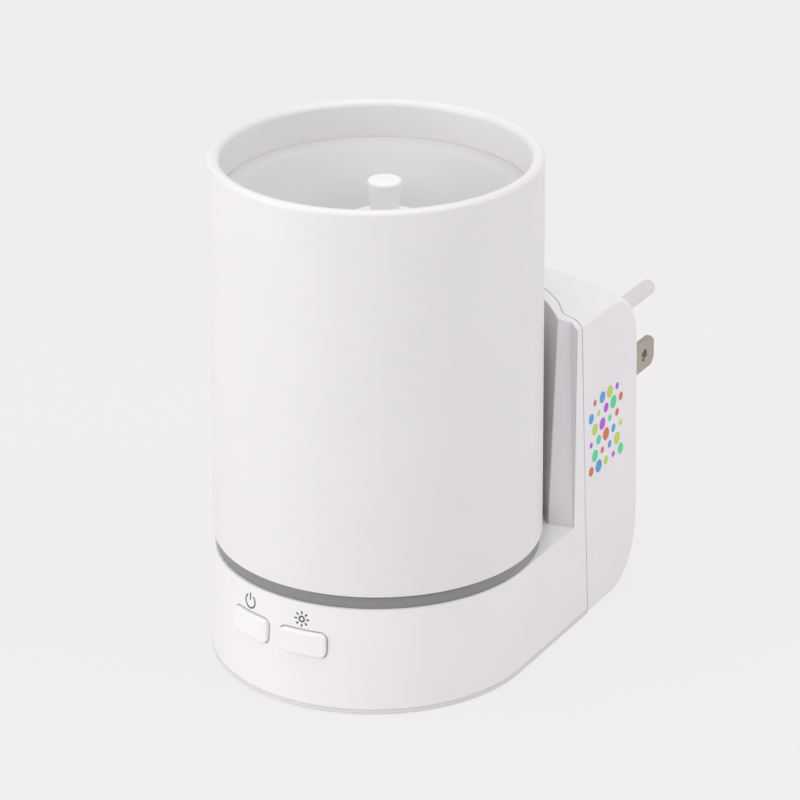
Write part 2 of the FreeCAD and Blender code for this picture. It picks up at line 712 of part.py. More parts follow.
def cover_form(name, inset, corner):
    """The rear cover's filled form, drawn in by an inset: drafted sides, crowned top, round back edges."""
    back = f"(riser_back - {inset})"
    bend = f"(back_round - {inset})"
    rear = f"({back} + overrun)" if corner == "0" else back

    def plan(height):
        wide = f"({half_width(height)} - {inset})"
        near = f"({wide} - {corner})"
        if corner == "0":
            return [(wide, "cover_front"), (wide, rear), (f"-({wide})", rear), (f"-({wide})", "cover_front")]
        return [(wide, "cover_front"), (wide, f"{rear} - {corner}", corner, 1), (near, rear),
                (f"-({near})", rear, corner, 1), (f"-({wide})", f"{rear} - {corner}"), (f"-({wide})", "cover_front")]

    sides = lofted_piece(f"{name}_sides", (f"{inset} - overrun", RISER_ABOVE), plan)
    crown = body(f"{name}_crown")
    top = f"(crown_radius - {inset})"
    low = "(crown_radius - riser_height - overrun)"
    arch = trace(sketch(crown, f"{name}_crown_section", "YZ_Plane", rise=CROWN_AXIS),
                 [("cover_front", low), (back, low), (back, f"{top} - {bend}", bend, 1), (f"{back} - {bend}", top),
                  ("cover_front", top)])
    feature(crown, "Revolution", f"{name}_crown_turn", arch, ReferenceAxis=(arch, ["H_Axis"]), Midplane=True,
            Angle=SIZES["crown_sweep"])
    foot = body(f"{name}_foot")
    heel = trace(sketch(foot, f"{name}_foot_section", "YZ_Plane"),
                 [("cover_front", inset), (f"{back} - {bend}", inset, bend, 1), (back, f"{inset} + {bend}"),
                  (back, RISER_ABOVE), ("cover_front", RISER_ABOVE)])
    padded(foot, f"{name}_foot_width", heel, "2 * base_half_width", Midplane=True)
    return shared(f"{name}_form", sides, crown, foot)


def rounded_cover(form):
    """The cover's form with its side edges rounded, widely down the back and little along the top and foot."""
    doc.recompute()
    start = number("cover_front")
    bend = number("riser_back - back_round")
    back = number("riser_back")
    wide = {number("back_corner"): [], number("top_corner"): [], number("foot_corner"): []}
    corner, top, foot = wide
    middle = number("riser_height / 2")
    fine = number("seat_gap") / 2
    rounded = doc.addObject("Part::Fillet", "cover_outer")
    rounded.Base = form
    chosen = []
    for index, edge in enumerate(form.Shape.Edges, 1):
        ends = [vertex.Point for vertex in edge.Vertexes]
        if len(ends) < 2 or abs(ends[0].x - ends[1].x) > number("slope_run") or abs(ends[0].x) < number("ring_bore"):
            continue
        low, high = sorted(ends, key=lambda point: point.y)
        if high.y - start < fine or abs(high.y - low.y) < fine and high.y < back - fine:
            continue
        side = top if (low.z + high.z) / 2 > middle else foot
        sizes = [corner if point.y > back - fine else side for point in ends]
        chosen.append((index, *sizes))
    rounded.Edges = chosen
    return rounded


def carrier_block(name, grown, y_low, y_high):
    """The upright block of the plug carrier, grown all round by a margin."""
    part = body(name)
    left, right = f"carrier_left - ({grown})", f"carrier_right + ({grown})"
    low, high = f"carrier_low - ({grown})", f"carrier_high + ({grown})"
    bend = "carrier_corner"
    corners = [(f"{left} + {bend}", low), (f"{right} - {bend}", low, bend, 1), (right, f"{low} + {bend}"),
               (right, f"{high} - {bend}", bend, 1), (f"{right} - {bend}", high), (f"{left} + {bend}", high, bend, 1),
               (left, f"{high} - {bend}"), (left, f"{low} + {bend}", bend, 1)]
    profile = trace(sketch(part, f"{name}_section", "XZ_Plane", f"-({y_low})"), corners)
    padded(part, f"{name}_depth", profile, f"({y_high}) - ({y_low})", Reversed=True)
    return part


def rear_cover(outer):
    """The separate shell behind the joint, open at the front, with the plug's window in its back."""
    inner = cover_form("cover_inner", "cover_wall", "back_corner")
    shell = trimmed("cover_shell", outer, inner)
    upper = lofted_piece("front_of_seam", (DECK_UNDER, f"{RISER_ABOVE} + overrun"), seam_outline)
    place(upper, y="seam_gap")
    lower = lofted_piece("front_of_seam_low", ("-overrun", DECK_UNDER),
                         lambda z: [("base_half_width + overrun", "0"), ("base_half_width + overrun", seam(z)),
                                    ("-base_half_width - overrun", seam(z)), ("-base_half_width - overrun", "0")])
    place(lower, y="seam_gap")
    open_shell = trimmed("cover_open_shell", shell, upper, lower)
    posts = [rod(f"cover_post_{index}", "boss_radius", "riser_back - cover_boss_split", x, "cover_boss_split", z,
                 FACING_BACK) for index, (x, z) in enumerate(COVER_SCREWS)]
    posts += [rod(f"power_post_{side}", "power_boss_radius", f"riser_back - {POWER_BOARD_BACK}",
                  f"{side}power_boss_aside", POWER_BOARD_BACK, "power_boss_height", FACING_BACK)
              for side in ("", "-")]
    kept = shared("cover_posts", joined("cover_posts_long", *posts), outer)
    whole = joined("cover_moulding", open_shell, kept)
    tools = [carrier_block("plug_window", "hole_clearance", CARRIER_FRONT, "riser_back + overrun")]
    for index, (x, z) in enumerate(COVER_SCREWS):
        tools.append(rod(f"cover_hole_{index}", "screw_radius + hole_clearance", "riser_back", x,
                         "cover_boss_split - overrun", z, FACING_BACK))
        tools.append(rod(f"cover_recess_{index}", "screw_head_radius + hole_clearance", "riser_back", x,
                         f"{COVER_INNER_BACK} - cover_recess_depth", z, FACING_BACK))
    tools += [rod(f"power_hole_{side}", "small_screw_radius + screw_fit", "small_boss_depth + 2 * overrun",
                  f"{side}power_boss_aside", f"{POWER_BOARD_BACK} - overrun", "power_boss_height", FACING_BACK)
              for side in ("", "-")]
    return node("rear_cover", trimmed("rear_cover", whole, *tools))


def plug(outer):
    """The insulating carrier in the rear cover's back, two flat blades and a round earth pin."""
    post = shared("carrier_core", carrier_block("carrier_block", "0", CARRIER_FRONT, "riser_back + overrun"), outer)
    plinth = block("carrier_plinth", ("carrier_left - carrier_flange", CARRIER_FRONT, "carrier_low - carrier_flange"),
                   ("carrier_right - carrier_corner", f"{CARRIER_FRONT} + carrier_flange_thickness",
                    "carrier_high + carrier_flange"))
    whole = joined("carrier_moulding", post, plinth)
    blades = {"live": (LIVE_X, "live_width"), "neutral": (NEUTRAL_X, "neutral_width")}
    tools = []
    for name, (x, width) in blades.items():
        tools.append(block(f"{name}_slot",
                           (f"{x} - blade_thickness / 2 - plug_fit", f"{CARRIER_FRONT} - overrun",
                            f"plug_height - {width} / 2 - plug_fit"),
                           (f"{x} + blade_thickness / 2 + plug_fit", "riser_back + overrun",
                            f"plug_height + {width} / 2 + plug_fit")))
    tools.append(rod("earth_hole", "earth_shoulder_radius + plug_fit", "carrier_deep + 2 * overrun", "plug_centre",
                     f"{CARRIER_FRONT} - overrun", EARTH_Z, FACING_BACK))
    node("plug_carrier", trimmed("plug_carrier", whole, *tools))
    for name, (x, width) in blades.items():
        blade = body(f"{name}_strip")
        tip, root = "riser_back + blade_out", "riser_back - blade_in"
        low, high = f"plug_height - {width} / 2", f"plug_height + {width} / 2"
        profile = trace(sketch(blade, f"{name}_profile", "YZ_Plane"),
                        [(root, low), (f"{tip} - blade_tip_chamfer", low), (tip, f"{low} + blade_tip_chamfer"),
                         (tip, f"{high} - blade_tip_chamfer"), (f"{tip} - blade_tip_chamfer", high), (root, high)])
        padded(blade, f"{name}_thickness", profile, "blade_thickness", Midplane=True)
        place(blade, x)
        hole = rod(f"{name}_hole", "blade_hole_radius", "blade_thickness + 2 * overrun",
                   f"{x} - blade_thickness / 2 - overrun", "riser_back + blade_hole_from_face", "plug_height",
                   Rotation(BACK, 90))
        node(f"blade_{name}", trimmed(f"blade_{name}", blade, hole))
    pin = turned_piece("earth_pin", [("0", "-earth_collar_height"), ("earth_collar_radius", "-earth_collar_height"),
                                     ("earth_collar_radius", "0"), ("earth_shoulder_radius", "0"),
                                     ("earth_shoulder_radius", "carrier_deep"), ("earth_radius", "carrier_deep"),
                                     ("earth_radius", "carrier_deep + earth_out - earth_radius", "earth_radius", 1),
                                     ("0", "carrier_deep + earth_out")])
    node("earth_pin", place(pin, "plug_centre", CARRIER_FRONT, EARTH_Z, FACING_BACK))


def shade_and_ring():
    """The tall shade with its rolled lip, dish ledge and foot flange, and the grey ring that it stands on."""
    bore = "(shade_radius - shade_wall)"
    ledge = f"({bore} - ledge_width)"
    ledge_low = f"({LEDGE_TOP} - ledge_height)"
    shell = turned_piece("shade_form", [
        ("shade_flange_bore", SHADE_FOOT), ("shade_foot_radius", SHADE_FOOT),
        ("shade_radius", f"{SHADE_TOP} - lip_outer_round", "lip_outer_round", 1),
        ("shade_radius - lip_outer_round", SHADE_TOP),
        (f"{bore} + lip_inner_round", SHADE_TOP, "lip_inner_round", 1), (bore, f"{SHADE_TOP} - lip_inner_round"),
        (bore, LEDGE_TOP), (ledge, LEDGE_TOP), (ledge, ledge_low), (bore, f"{ledge_low} - ledge_width"),
        (bore, f"{SHADE_FOOT} + shade_flange_height"), ("shade_flange_bore", f"{SHADE_FOOT} + shade_flange_height")])
    holes = [rod(f"shade_hole_{index}", "screw_radius + screw_fit", "shade_flange_height + overrun", x, y,
                 f"{SHADE_FOOT} - overrun") for index, (x, y) in enumerate(SHADE_SCREWS)]
    node("shade", trimmed("shade", shell, *holes))
    ring = turned_piece("ring_form", [("ring_bore", "deck_height"), ("ring_radius", "deck_height"),
                                      ("ring_radius", SHADE_FOOT), ("ring_bore", SHADE_FOOT)])
    holes = [rod(f"ring_hole_{index}", "screw_radius + hole_clearance", "ring_height + 2 * overrun", x, y,
                 "deck_height - overrun") for index, (x, y) in enumerate(SHADE_SCREWS)]
    node("accent_ring", trimmed("accent_ring", ring, *holes))


def wax_dish():
    """The lift-out dish that hangs by its rim on the shade's ledge, and the post to lift it by."""
    rim = "(shade_radius - shade_wall - dish_clearance)"
    outside = "(shade_radius - shade_wall - ledge_width - dish_clearance)"
    inside = f"({outside} - dish_wall)"
    spring = f"({DISH_FLOOR} + dish_floor_curve)"
    node("wax_dish", turned_piece("wax_dish", [
        ("0", DISH_UNDER), (f"{inside} - dish_floor_curve", DISH_UNDER, "dish_floor_curve + dish_wall", 1),
        (outside, spring), (outside, DISH_RIM_UNDER), (rim, DISH_RIM_UNDER),
        (rim, f"{DISH_RIM_TOP} - dish_lip_round", "dish_lip_round", 1), (f"{rim} - dish_lip_round", DISH_RIM_TOP),
        (f"{inside} + dish_lip_round", DISH_RIM_TOP, "dish_lip_round", 1),
        (inside, f"{DISH_RIM_TOP} - dish_lip_round"), (inside, spring, "dish_floor_curve", -1),
        (f"{inside} - dish_floor_curve", DISH_FLOOR), ("0", DISH_FLOOR)]))
    post = turned_piece("dish_post", [
        ("0", "0"), ("post_foot_radius", "0"), ("post_foot_radius - post_foot_height / 2", "post_foot_height"),
        ("post_radius + post_round", "post_foot_height", "post_round", -1),
        ("post_radius", "post_foot_height + post_round"),
        ("post_head_radius", "post_height - post_round", "post_round", 1),
        ("post_head_radius - post_round", "post_height"), ("0", "post_height")])
    node("dish_post", place(post, "post_right", "post_back", DISH_FLOOR))


def heater():
    """The heater under the dish, carried in a pan on a hollow column."""
    plate = turned_piece("heater_plate", [
        ("0", PLATE_UNDER), ("heater_plate_radius", PLATE_UNDER),
        ("heater_plate_radius", f"{PLATE_OVER} - heater_plate_round", "heater_plate_round", 1),
        ("heater_plate_radius - heater_plate_round", PLATE_OVER), ("0", PLATE_OVER)])
    node("heater_plate", plate)
    node("heater_element", block("heater_element", ("-element_length / 2", "-element_width / 2", ELEMENT_UNDER),
                                 ("element_length / 2", "element_width / 2", PLATE_UNDER)))
    node("insulation_pad", turned_piece("insulation_pad", [
        ("column_bore", PAD_UNDER), ("pad_radius", PAD_UNDER), ("pad_radius", ELEMENT_UNDER),
        ("column_bore", ELEMENT_UNDER)]))
    pan = turned_piece("pan_form", [
        ("column_bore", PAN_UNDER), ("pan_radius", PAN_UNDER), ("pan_radius", PLATE_UNDER),
        ("pan_radius - pan_wall - overrun", PLATE_UNDER), ("pan_radius - pan_wall - overrun", f"{PLATE_UNDER} - pan_wall"),
        ("pan_radius - pan_wall", f"{PLATE_UNDER} - pan_wall"), ("pan_radius - pan_wall", PAD_UNDER),
        ("column_bore", PAD_UNDER)])
    pan_holes = [rod(f"pan_hole_{index}", "rivet_radius + screw_fit", "pan_wall + 2 * overrun", x, y,
                     f"{PAN_UNDER} - overrun") for index, (x, y) in enumerate(RIVETS)]
    node("heater_pan", trimmed("heater_pan", pan, *pan_holes))
    rivets = [joined(f"rivet_{index}",
                     rod(f"rivet_shank_{index}", "rivet_radius", "pan_wall + column_head_height", x, y, HEAD_UNDER),
                     rod(f"rivet_top_{index}", "rivet_head_radius", "rivet_head_height", x, y, PAD_UNDER),
                     rod(f"rivet_foot_{index}", "rivet_head_radius", "rivet_head_height", x, y,
                         f"{HEAD_UNDER} - rivet_head_height"))
              for index, (x, y) in enumerate(RIVETS)]
    node("pan_rivets", grouped("pan_rivets", rivets))
    node("thermal_cutout", rod("thermal_cutout", "cutout_radius", "cutout_length", "-cutout_length / 2", "rivet_circle",
                               f"{PAD_UNDER} + cutout_radius", Rotation(BACK, 90)))
    flare = "(column_radius + column_flare)"
    column = turned_piece("column_form", [
        ("column_bore", "deck_height"), ("column_foot_radius", "deck_height"),
        ("column_foot_radius", "deck_height + column_foot_height"),
        ("column_radius", "deck_height + column_foot_height"),
        ("column_radius", f"{HEAD_UNDER} - column_flare"), (flare, HEAD_UNDER), ("column_head_radius", HEAD_UNDER),
        ("column_head_radius", PAN_UNDER), ("column_bore", PAN_UNDER)])
    holes = [rod(f"column_hole_{index}", "screw_radius + screw_fit", "column_foot_height + overrun", x, y,
                 "deck_height - overrun") for index, (x, y) in enumerate(COLUMN_SCREWS)]
    holes += [rod(f"column_rivet_hole_{index}", "rivet_radius + screw_fit", "column_head_height + 2 * overrun", x, y,
                  f"{HEAD_UNDER} - overrun") for index, (x, y) in enumerate(RIVETS)]
    node("heater_column", trimmed("heater_column", column, *holes))


def lamp_board():
    """The ring-shaped lamp board on the deck, with its lamps."""
    disc = turned_piece("lamp_disc", [
        ("lamp_board_bore", "deck_height"), ("lamp_board_radius", "deck_height"), ("lamp_board_radius", LAMP_BOARD_TOP),
        ("lamp_board_bore", LAMP_BOARD_TOP)])
    holes = [rod(f"lamp_board_hole_{index}", "small_screw_radius + hole_clearance", "board_thickness + 2 * overrun", x,
                 y, "deck_height - overrun") for index, (x, y) in enumerate(LAMP_BOARD_SCREWS)]
    node("lamp_board", trimmed("lamp_board", disc, *holes))
    lamps = []
    for index, (x, y) in enumerate(LAMPS):
        base = block(f"lamp_base_{index}", (f"{x} - lamp_side / 2", f"{y} - lamp_side / 2", LAMP_BOARD_TOP),
                     (f"{x} + lamp_side / 2", f"{y} + lamp_side / 2", f"{LAMP_BOARD_TOP} + lamp_height"))
        lens = rod(f"lamp_lens_{index}", "lamp_lens_radius", "lamp_height + lamp_lens_height", x, y, LAMP_BOARD_TOP)
        lamps.append(joined(f"lamp_{index}", base, lens))
    node("lamps", grouped("lamps", lamps))


def push_button(name, bearing):
    """One push button with its plunger and the switch behind it, along a bearing from the base's centre."""
    cap = rounded_bar(f"{name}_cap", f"{BUTTON_BACK} + button_flange_depth / 2", f"{BUTTON_WALL} + 3 * button_proud",
                      "button_width", "button_tall", "button_corner")
    limit = rod(f"{name}_cap_limit", f"{BUTTON_WALL} + button_proud", "button_tall + 2 * overrun",
                z="-button_tall / 2 - overrun")
    face = shared(f"{name}_cap_face", cap, limit)
    flange = rounded_bar(f"{name}_flange", BUTTON_BACK, f"{BUTTON_BACK} + button_flange_depth",
                         "button_width + 2 * button_flange_over", "button_tall + 2 * button_flange_over",
                         "button_corner + button_flange_over")
    flange_limit = rod(f"{name}_flange_limit", f"{BASE_INNER} - button_gap", "button_tall + 4 * overrun",
                       z="-button_tall / 2 - 2 * overrun")
    curved_flange = shared(f"{name}_curved_flange", flange, flange_limit)
    stem = rounded_bar(f"{name}_stem", "switch_face + switch_plunger_out", f"{BUTTON_BACK} + button_flange_depth / 2",
                       "button_stem_side", "button_stem_side", "button_edge")
    whole = joined(f"{name}_button_sharp", face, curved_flange, stem)
    outermost = f"{BUTTON_WALL} + button_proud"
    soft = rounded_edges(f"{name}_button", whole, "button_edge",
                         lambda edge: all(abs(math.hypot(v.X, v.Y) - number(outermost)) < number("seat_gap") / 2
                                          for v in edge.Vertexes))
    node(f"{name}_button", at_bearing(soft, bearing, "button_height", y=BUTTON_CENTRE_Y))
    plunger = rod(f"{name}_plunger", "switch_plunger_radius", "switch_plunger_in + switch_plunger_out",
                  "switch_face - switch_plunger_in", turned=Rotation(BACK, 90))
    holder = grouped(f"{name}_plunger_group", [plunger])
    node(f"{name}_plunger", at_bearing(holder, bearing, "button_height", y=BUTTON_CENTRE_Y))
    case = block(f"{name}_switch_case", ("switch_face - switch_depth", "-switch_width / 2", "-switch_tall / 2"),
                 ("switch_face", "switch_width / 2", "switch_tall / 2"))
    socket = rod(f"{name}_switch_socket", "switch_plunger_radius + screw_fit", "switch_bore_depth + overrun",
                 "switch_face - switch_bore_depth", turned=Rotation(BACK, 90))
    node(f"{name}_switch", at_bearing(trimmed(f"{name}_switch", case, socket), bearing, "button_height",
                                      y=BUTTON_CENTRE_Y))


def control_board():
    """The level board behind the buttons, which carries the switches and the control chip."""
    slab = block("control_slab", ("board_front - board_deep", "-board_wide / 2", "0"),
                 ("board_front", "board_wide / 2", "board_thickness"))
    holes = [rod(f"control_hole_{side}", "small_screw_radius + hole_clearance", "board_thickness + 2 * overrun",
                 "board_boss_from_axis", f"{side}board_boss_aside", "-overrun") for side in ("", "-")]
    board = trimmed("control_board", slab, *holes)
    node("control_board", at_bearing(board, "board_bearing", BOARD_LOW, y=BUTTON_CENTRE_Y))
    chip = block("control_chip", ("board_boss_from_axis - chip_side / 2", "-chip_side / 2", "board_thickness"),
                 ("board_boss_from_axis + chip_side / 2", "chip_side / 2", "board_thickness + chip_height"))
    node("control_chip", at_bearing(grouped("control_chip_group", [chip]), "board_bearing", BOARD_LOW,
                                    y=BUTTON_CENTRE_Y))


def power_board():
    """The upright mains board in the rear cover with its transformer and capacitors."""
    slab = block("power_slab", ("-power_board_half_width", "power_board_front", "power_board_low"),
                 ("power_board_half_width", POWER_BOARD_BACK, "power_board_low + power_board_tall"))
    holes = [rod(f"power_board_hole_{side}", "small_screw_radius + hole_clearance", "board_thickness + 2 * overrun",
                 f"{side}power_boss_aside", "power_board_front - overrun", "power_boss_height", FACING_BACK)
             for side in ("", "-")]
    top = "power_board_low + power_board_tall"
    tab = block("power_tab", ("0", "power_board_front", f"{top} - power_tab_tall"),
                (f"{NEUTRAL_X} + power_tab_margin", POWER_BOARD_BACK, top))
    node("power_board", trimmed("power_board", joined("power_board_outline", slab, tab), *holes))
    low = ("transformer_left", POWER_BOARD_BACK, "transformer_low")
    high = ("transformer_left + transformer_side", f"{POWER_BOARD_BACK} + transformer_deep",
            "transformer_low + transformer_side")
    coil = block("transformer_coil", (f"{low[0]} + core_inset", low[1], low[2]),
                 (f"{high[0]} - core_inset", f"{high[1]} - core_inset", high[2]))
    core = block("transformer_core", (low[0], f"{low[1]} + core_inset", f"{low[2]} + core_inset"),
                 (high[0], high[1], f"{high[2]} - core_inset"))
    node("transformer", joined("transformer", coil, core))
    can = rod("smoothing_can", "capacitor_radius", "capacitor_length", "capacitor_right", POWER_BOARD_BACK,
              "capacitor_height", FACING_BACK)
    film = block("film_block", ("film_right", POWER_BOARD_BACK, "film_low"),
                 ("film_right + film_width", f"{POWER_BOARD_BACK} + film_deep", "film_low + film_tall"))
    node("capacitors", grouped("capacitors", [can, film]))


def lead_along(name, x, corners):
    """A round lead in an upright plane along Y, through corners given as (y, z), bent to the lead's radius."""
    part = body(name)
    path = trace(sketch(part, f"{name}_path", "YZ_Plane"), corners, closed=False)
    start = corners[0]
    ahead = corners[1]
    upright = start[0] == ahead[0]
    if upright:
        profile = sketch(part, f"{name}_section", "XY_Plane", start[1])
        centre = ("0", start[0])
    else:
        profile = sketch(part, f"{name}_section", "XZ_Plane", f"-({start[0]})")
        centre = ("0", start[1])
    ring = profile.addGeometry(Part.Circle(Vector(0, number(centre[1]), 0), UP, number("lead_radius")))
    pin_down(profile, ring, 3, centre)
    held = profile.addConstraint(Sketcher.Constraint("Radius", ring, number("lead_radius")))
    profile.setExpression(f"Constraints[{held}]", formula("lead_radius"))
    doc.recompute()
    edges = [f"Edge{index + 1}" for index in range(len(corners) - 1)]
    feature(part, "AdditivePipe", f"{name}_sweep", profile, Spine=(path, edges))
    return place(part, x)


def leads():
    """The wires between the plug, the boards, the heater and the lamps."""
    wires = []
    for side in ("", "-"):
        wires.append(lead_along(f"heater_lead_{side or 'right'}", f"{side}heater_lead_aside", [
            ("power_board_front", "heater_lead_height"), ("lead_bend", "heater_lead_height", "lead_bend", -1),
            ("0", "heater_lead_height + lead_bend"), ("0", ELEMENT_UNDER)]))
    node("heater_leads", grouped("heater_leads", wires))
    wires = []
    tab = "(riser_back - blade_in + lead_radius)"
    for name, x, width in (("live", LIVE_X, "live_width"), ("neutral", NEUTRAL_X, "neutral_width")):
        wires.append(lead_along(f"{name}_lead", x, [
            (tab, f"plug_height - {width} / 2"), (tab, "mains_lead_low + lead_bend", "lead_bend", -1),
            (f"{tab} - lead_bend", "mains_lead_low"), (POWER_BOARD_BACK, "mains_lead_low")]))
    node("mains_leads", grouped("mains_leads", wires))
    board_top = f"{BOARD_LOW} + board_thickness"
    node("control_ribbon", block("control_ribbon", ("ribbon_left", f"-board_front + board_deep - ribbon_lap", board_top),
                                 ("ribbon_left + ribbon_width", "power_board_front",
                                  f"{board_top} + ribbon_thickness")))
    pair = [rod(f"lamp_lead_{index}", "lead_radius", f"deck_height - {BOARD_LOW} - board_thickness",
                f"lamp_lead_right + {shift} * lamp_lead_pitch / 2", "-lamp_lead_front", board_top)
            for index, shift in enumerate((-1, 1))]
    node("lamp_leads", grouped("lamp_leads", pair))


def fasteners():
    """The screws that hold the pieces together, each kind as one group."""
    under = DECK_UNDER
    node("shade_screws", grouped("shade_screws", [
        screw(f"shade_screw_{index}", x, y, under, UPRIGHT, "deck_thickness + ring_height + shade_flange_height - seat_gap")
        for index, (x, y) in enumerate(SHADE_SCREWS)]))
    node("column_screws", grouped("column_screws", [
        screw(f"column_screw_{index}", x, y, under, UPRIGHT, "deck_thickness + column_foot_height - seat_gap")
        for index, (x, y) in enumerate(COLUMN_SCREWS)]))
    node("lamp_board_screws", grouped("lamp_board_screws", [
        screw(f"lamp_board_screw_{index}", x, y, LAMP_BOARD_TOP, FACING_DOWN,
              "board_thickness + deck_thickness + small_boss_depth - seat_gap", "small_screw_radius",
              "small_screw_head_radius") for index, (x, y) in enumerate(LAMP_BOARD_SCREWS)]))
    node("control_board_screws", grouped("control_board_screws", [
        screw(f"control_board_screw_{index}", x, y, BOARD_LOW, UPRIGHT, "board_thickness + small_boss_depth",
              "small_screw_radius", "small_screw_head_radius") for index, (x, y) in enumerate(BOARD_BOSSES)]))
    node("power_board_screws", grouped("power_board_screws", [
        screw(f"power_board_screw_{side or 'right'}", f"{side}power_boss_aside", "power_board_front",
              "power_boss_height", FACING_BACK, "board_thickness + small_boss_depth", "small_screw_radius",
              "small_screw_head_radius") for side in ("", "-")]))
    node("plate_screws", grouped("plate_screws", [
        screw(f"plate_screw_{index}", x, y, "plate_screw_head_height + screw_recess", UPRIGHT,
              f"{PLATE_TOP} + plate_screw_bite - plate_screw_head_height - screw_recess",
              tall="plate_screw_head_height") for index, (x, y) in enumerate(PLATE_SCREWS)]))
    node("cover_screws", grouped("cover_screws", [
        screw(f"cover_screw_{index}", x, f"{COVER_INNER_BACK} - cover_recess_depth", z, FACING_FRONT,
              f"{COVER_INNER_BACK} - cover_recess_depth - cover_boss_split + cover_screw_length")
        for index, (x, z) in enumerate(COVER_SCREWS)]))


def build():
    """Makes every piece."""
    base_housing()
    bottom_plate()
    outer = rounded_cover(cover_form("cover_sharp", "0", "0"))
    rear_cover(outer)
    plug(outer)
    shade_and_ring()
    wax_dish()
    heater()
    lamp_board()
    for name, bearing in BUTTONS.items():
        push_button(name, bearing)
    control_board()
    power_board()
    leads()
    fasteners()


def write():
    """Checks every object and piece, then writes one file for each piece."""
    doc.recompute()
    failed = [item.Label for item in doc.Objects if {"Invalid", "Error"} & set(item.State)]
    failed += [name for name, item in NODES.items() if item.Shape.isNull() or not item.Shape.isValid()]
    failed += [name for name, item in NODES.items() if not item.Shape.Solids]
    if failed:
        raise RuntimeError(f"not built: {failed}")
    os.makedirs("parts", exist_ok=True)
    for name, item in NODES.items():
        item.Shape.exportStep(f"parts/{name}.step")
        box = item.Shape.BoundBox
        print(f"{name}: {len(item.Shape.Solids)} solid(s), {item.Shape.Volume:.0f} mm3, "
              f"x {box.XMin:.1f} to {box.XMax:.1f}, y {box.YMin:.1f} to {box.YMax:.1f}, "
              f"z {box.ZMin:.1f} to {box.ZMax:.1f}")


build()
write()
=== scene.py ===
"""Plug-in wax melt warmer: white shade on a grey band, D-shaped base, and a riser with a wall plug."""

from __future__ import annotations

import colorsys
import logging
import math
from dataclasses import dataclass, field
from enum import Enum

import bmesh
import bpy
from mathutils import Matrix, Vector

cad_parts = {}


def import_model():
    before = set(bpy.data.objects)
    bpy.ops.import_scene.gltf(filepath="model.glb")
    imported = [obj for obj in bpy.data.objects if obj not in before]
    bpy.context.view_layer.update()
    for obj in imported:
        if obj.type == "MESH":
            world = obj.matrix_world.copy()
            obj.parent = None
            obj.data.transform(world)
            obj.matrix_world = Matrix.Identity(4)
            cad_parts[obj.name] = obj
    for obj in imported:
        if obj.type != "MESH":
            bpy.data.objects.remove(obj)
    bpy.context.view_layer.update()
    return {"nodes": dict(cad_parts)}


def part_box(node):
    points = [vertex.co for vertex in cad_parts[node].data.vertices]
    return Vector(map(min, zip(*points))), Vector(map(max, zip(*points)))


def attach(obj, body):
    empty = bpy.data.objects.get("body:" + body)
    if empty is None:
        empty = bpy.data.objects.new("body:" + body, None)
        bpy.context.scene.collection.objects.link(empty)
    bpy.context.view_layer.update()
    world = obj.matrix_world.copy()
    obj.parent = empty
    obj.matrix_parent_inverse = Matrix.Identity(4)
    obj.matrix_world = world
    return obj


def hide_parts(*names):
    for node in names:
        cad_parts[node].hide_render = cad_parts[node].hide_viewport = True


log = logging.getLogger("warmer")

MM = 0.001
Colour = tuple[float, float, float]
Flat = tuple[float, float]
Corner = tuple[float, float, float]
Solids = dict[str, bpy.types.Object]

# How a finish varies over a surface: the cloud noise, what part of it tints and dulls, and how much.
CLOUD_SCALE, CLOUD_DETAIL = 55.0, 5.0
TINT_PART: Flat = (0.35, 0.65)
GLOSS_PART: Flat = (0.3, 0.7)
GLOSS_SHARE: Flat = (0.9, 1.12)
# How much lighter the raised part of a worked surface is, and where that part begins and ends.
RAISED_PART: Flat = (0.45, 0.6)
RAISED_GAIN, RAISED_LIFT, RAISED_SHARE = 1.28, 0.02, 0.8
GRAIN_DETAIL = 3.0
BRUSHED_STRETCH = 12.0
COAT_ROUGHNESS = 0.12
EDGE_SAMPLES = 6


class Pattern(Enum):
    """How the surface of a finish is worked."""

    MOULDED = "moulded"
    BRUSHED = "brushed"
    TURNED = "turned"
    TRACKS = "tracks"
    WOVEN = "woven"
    SPECKLED = "speckled"


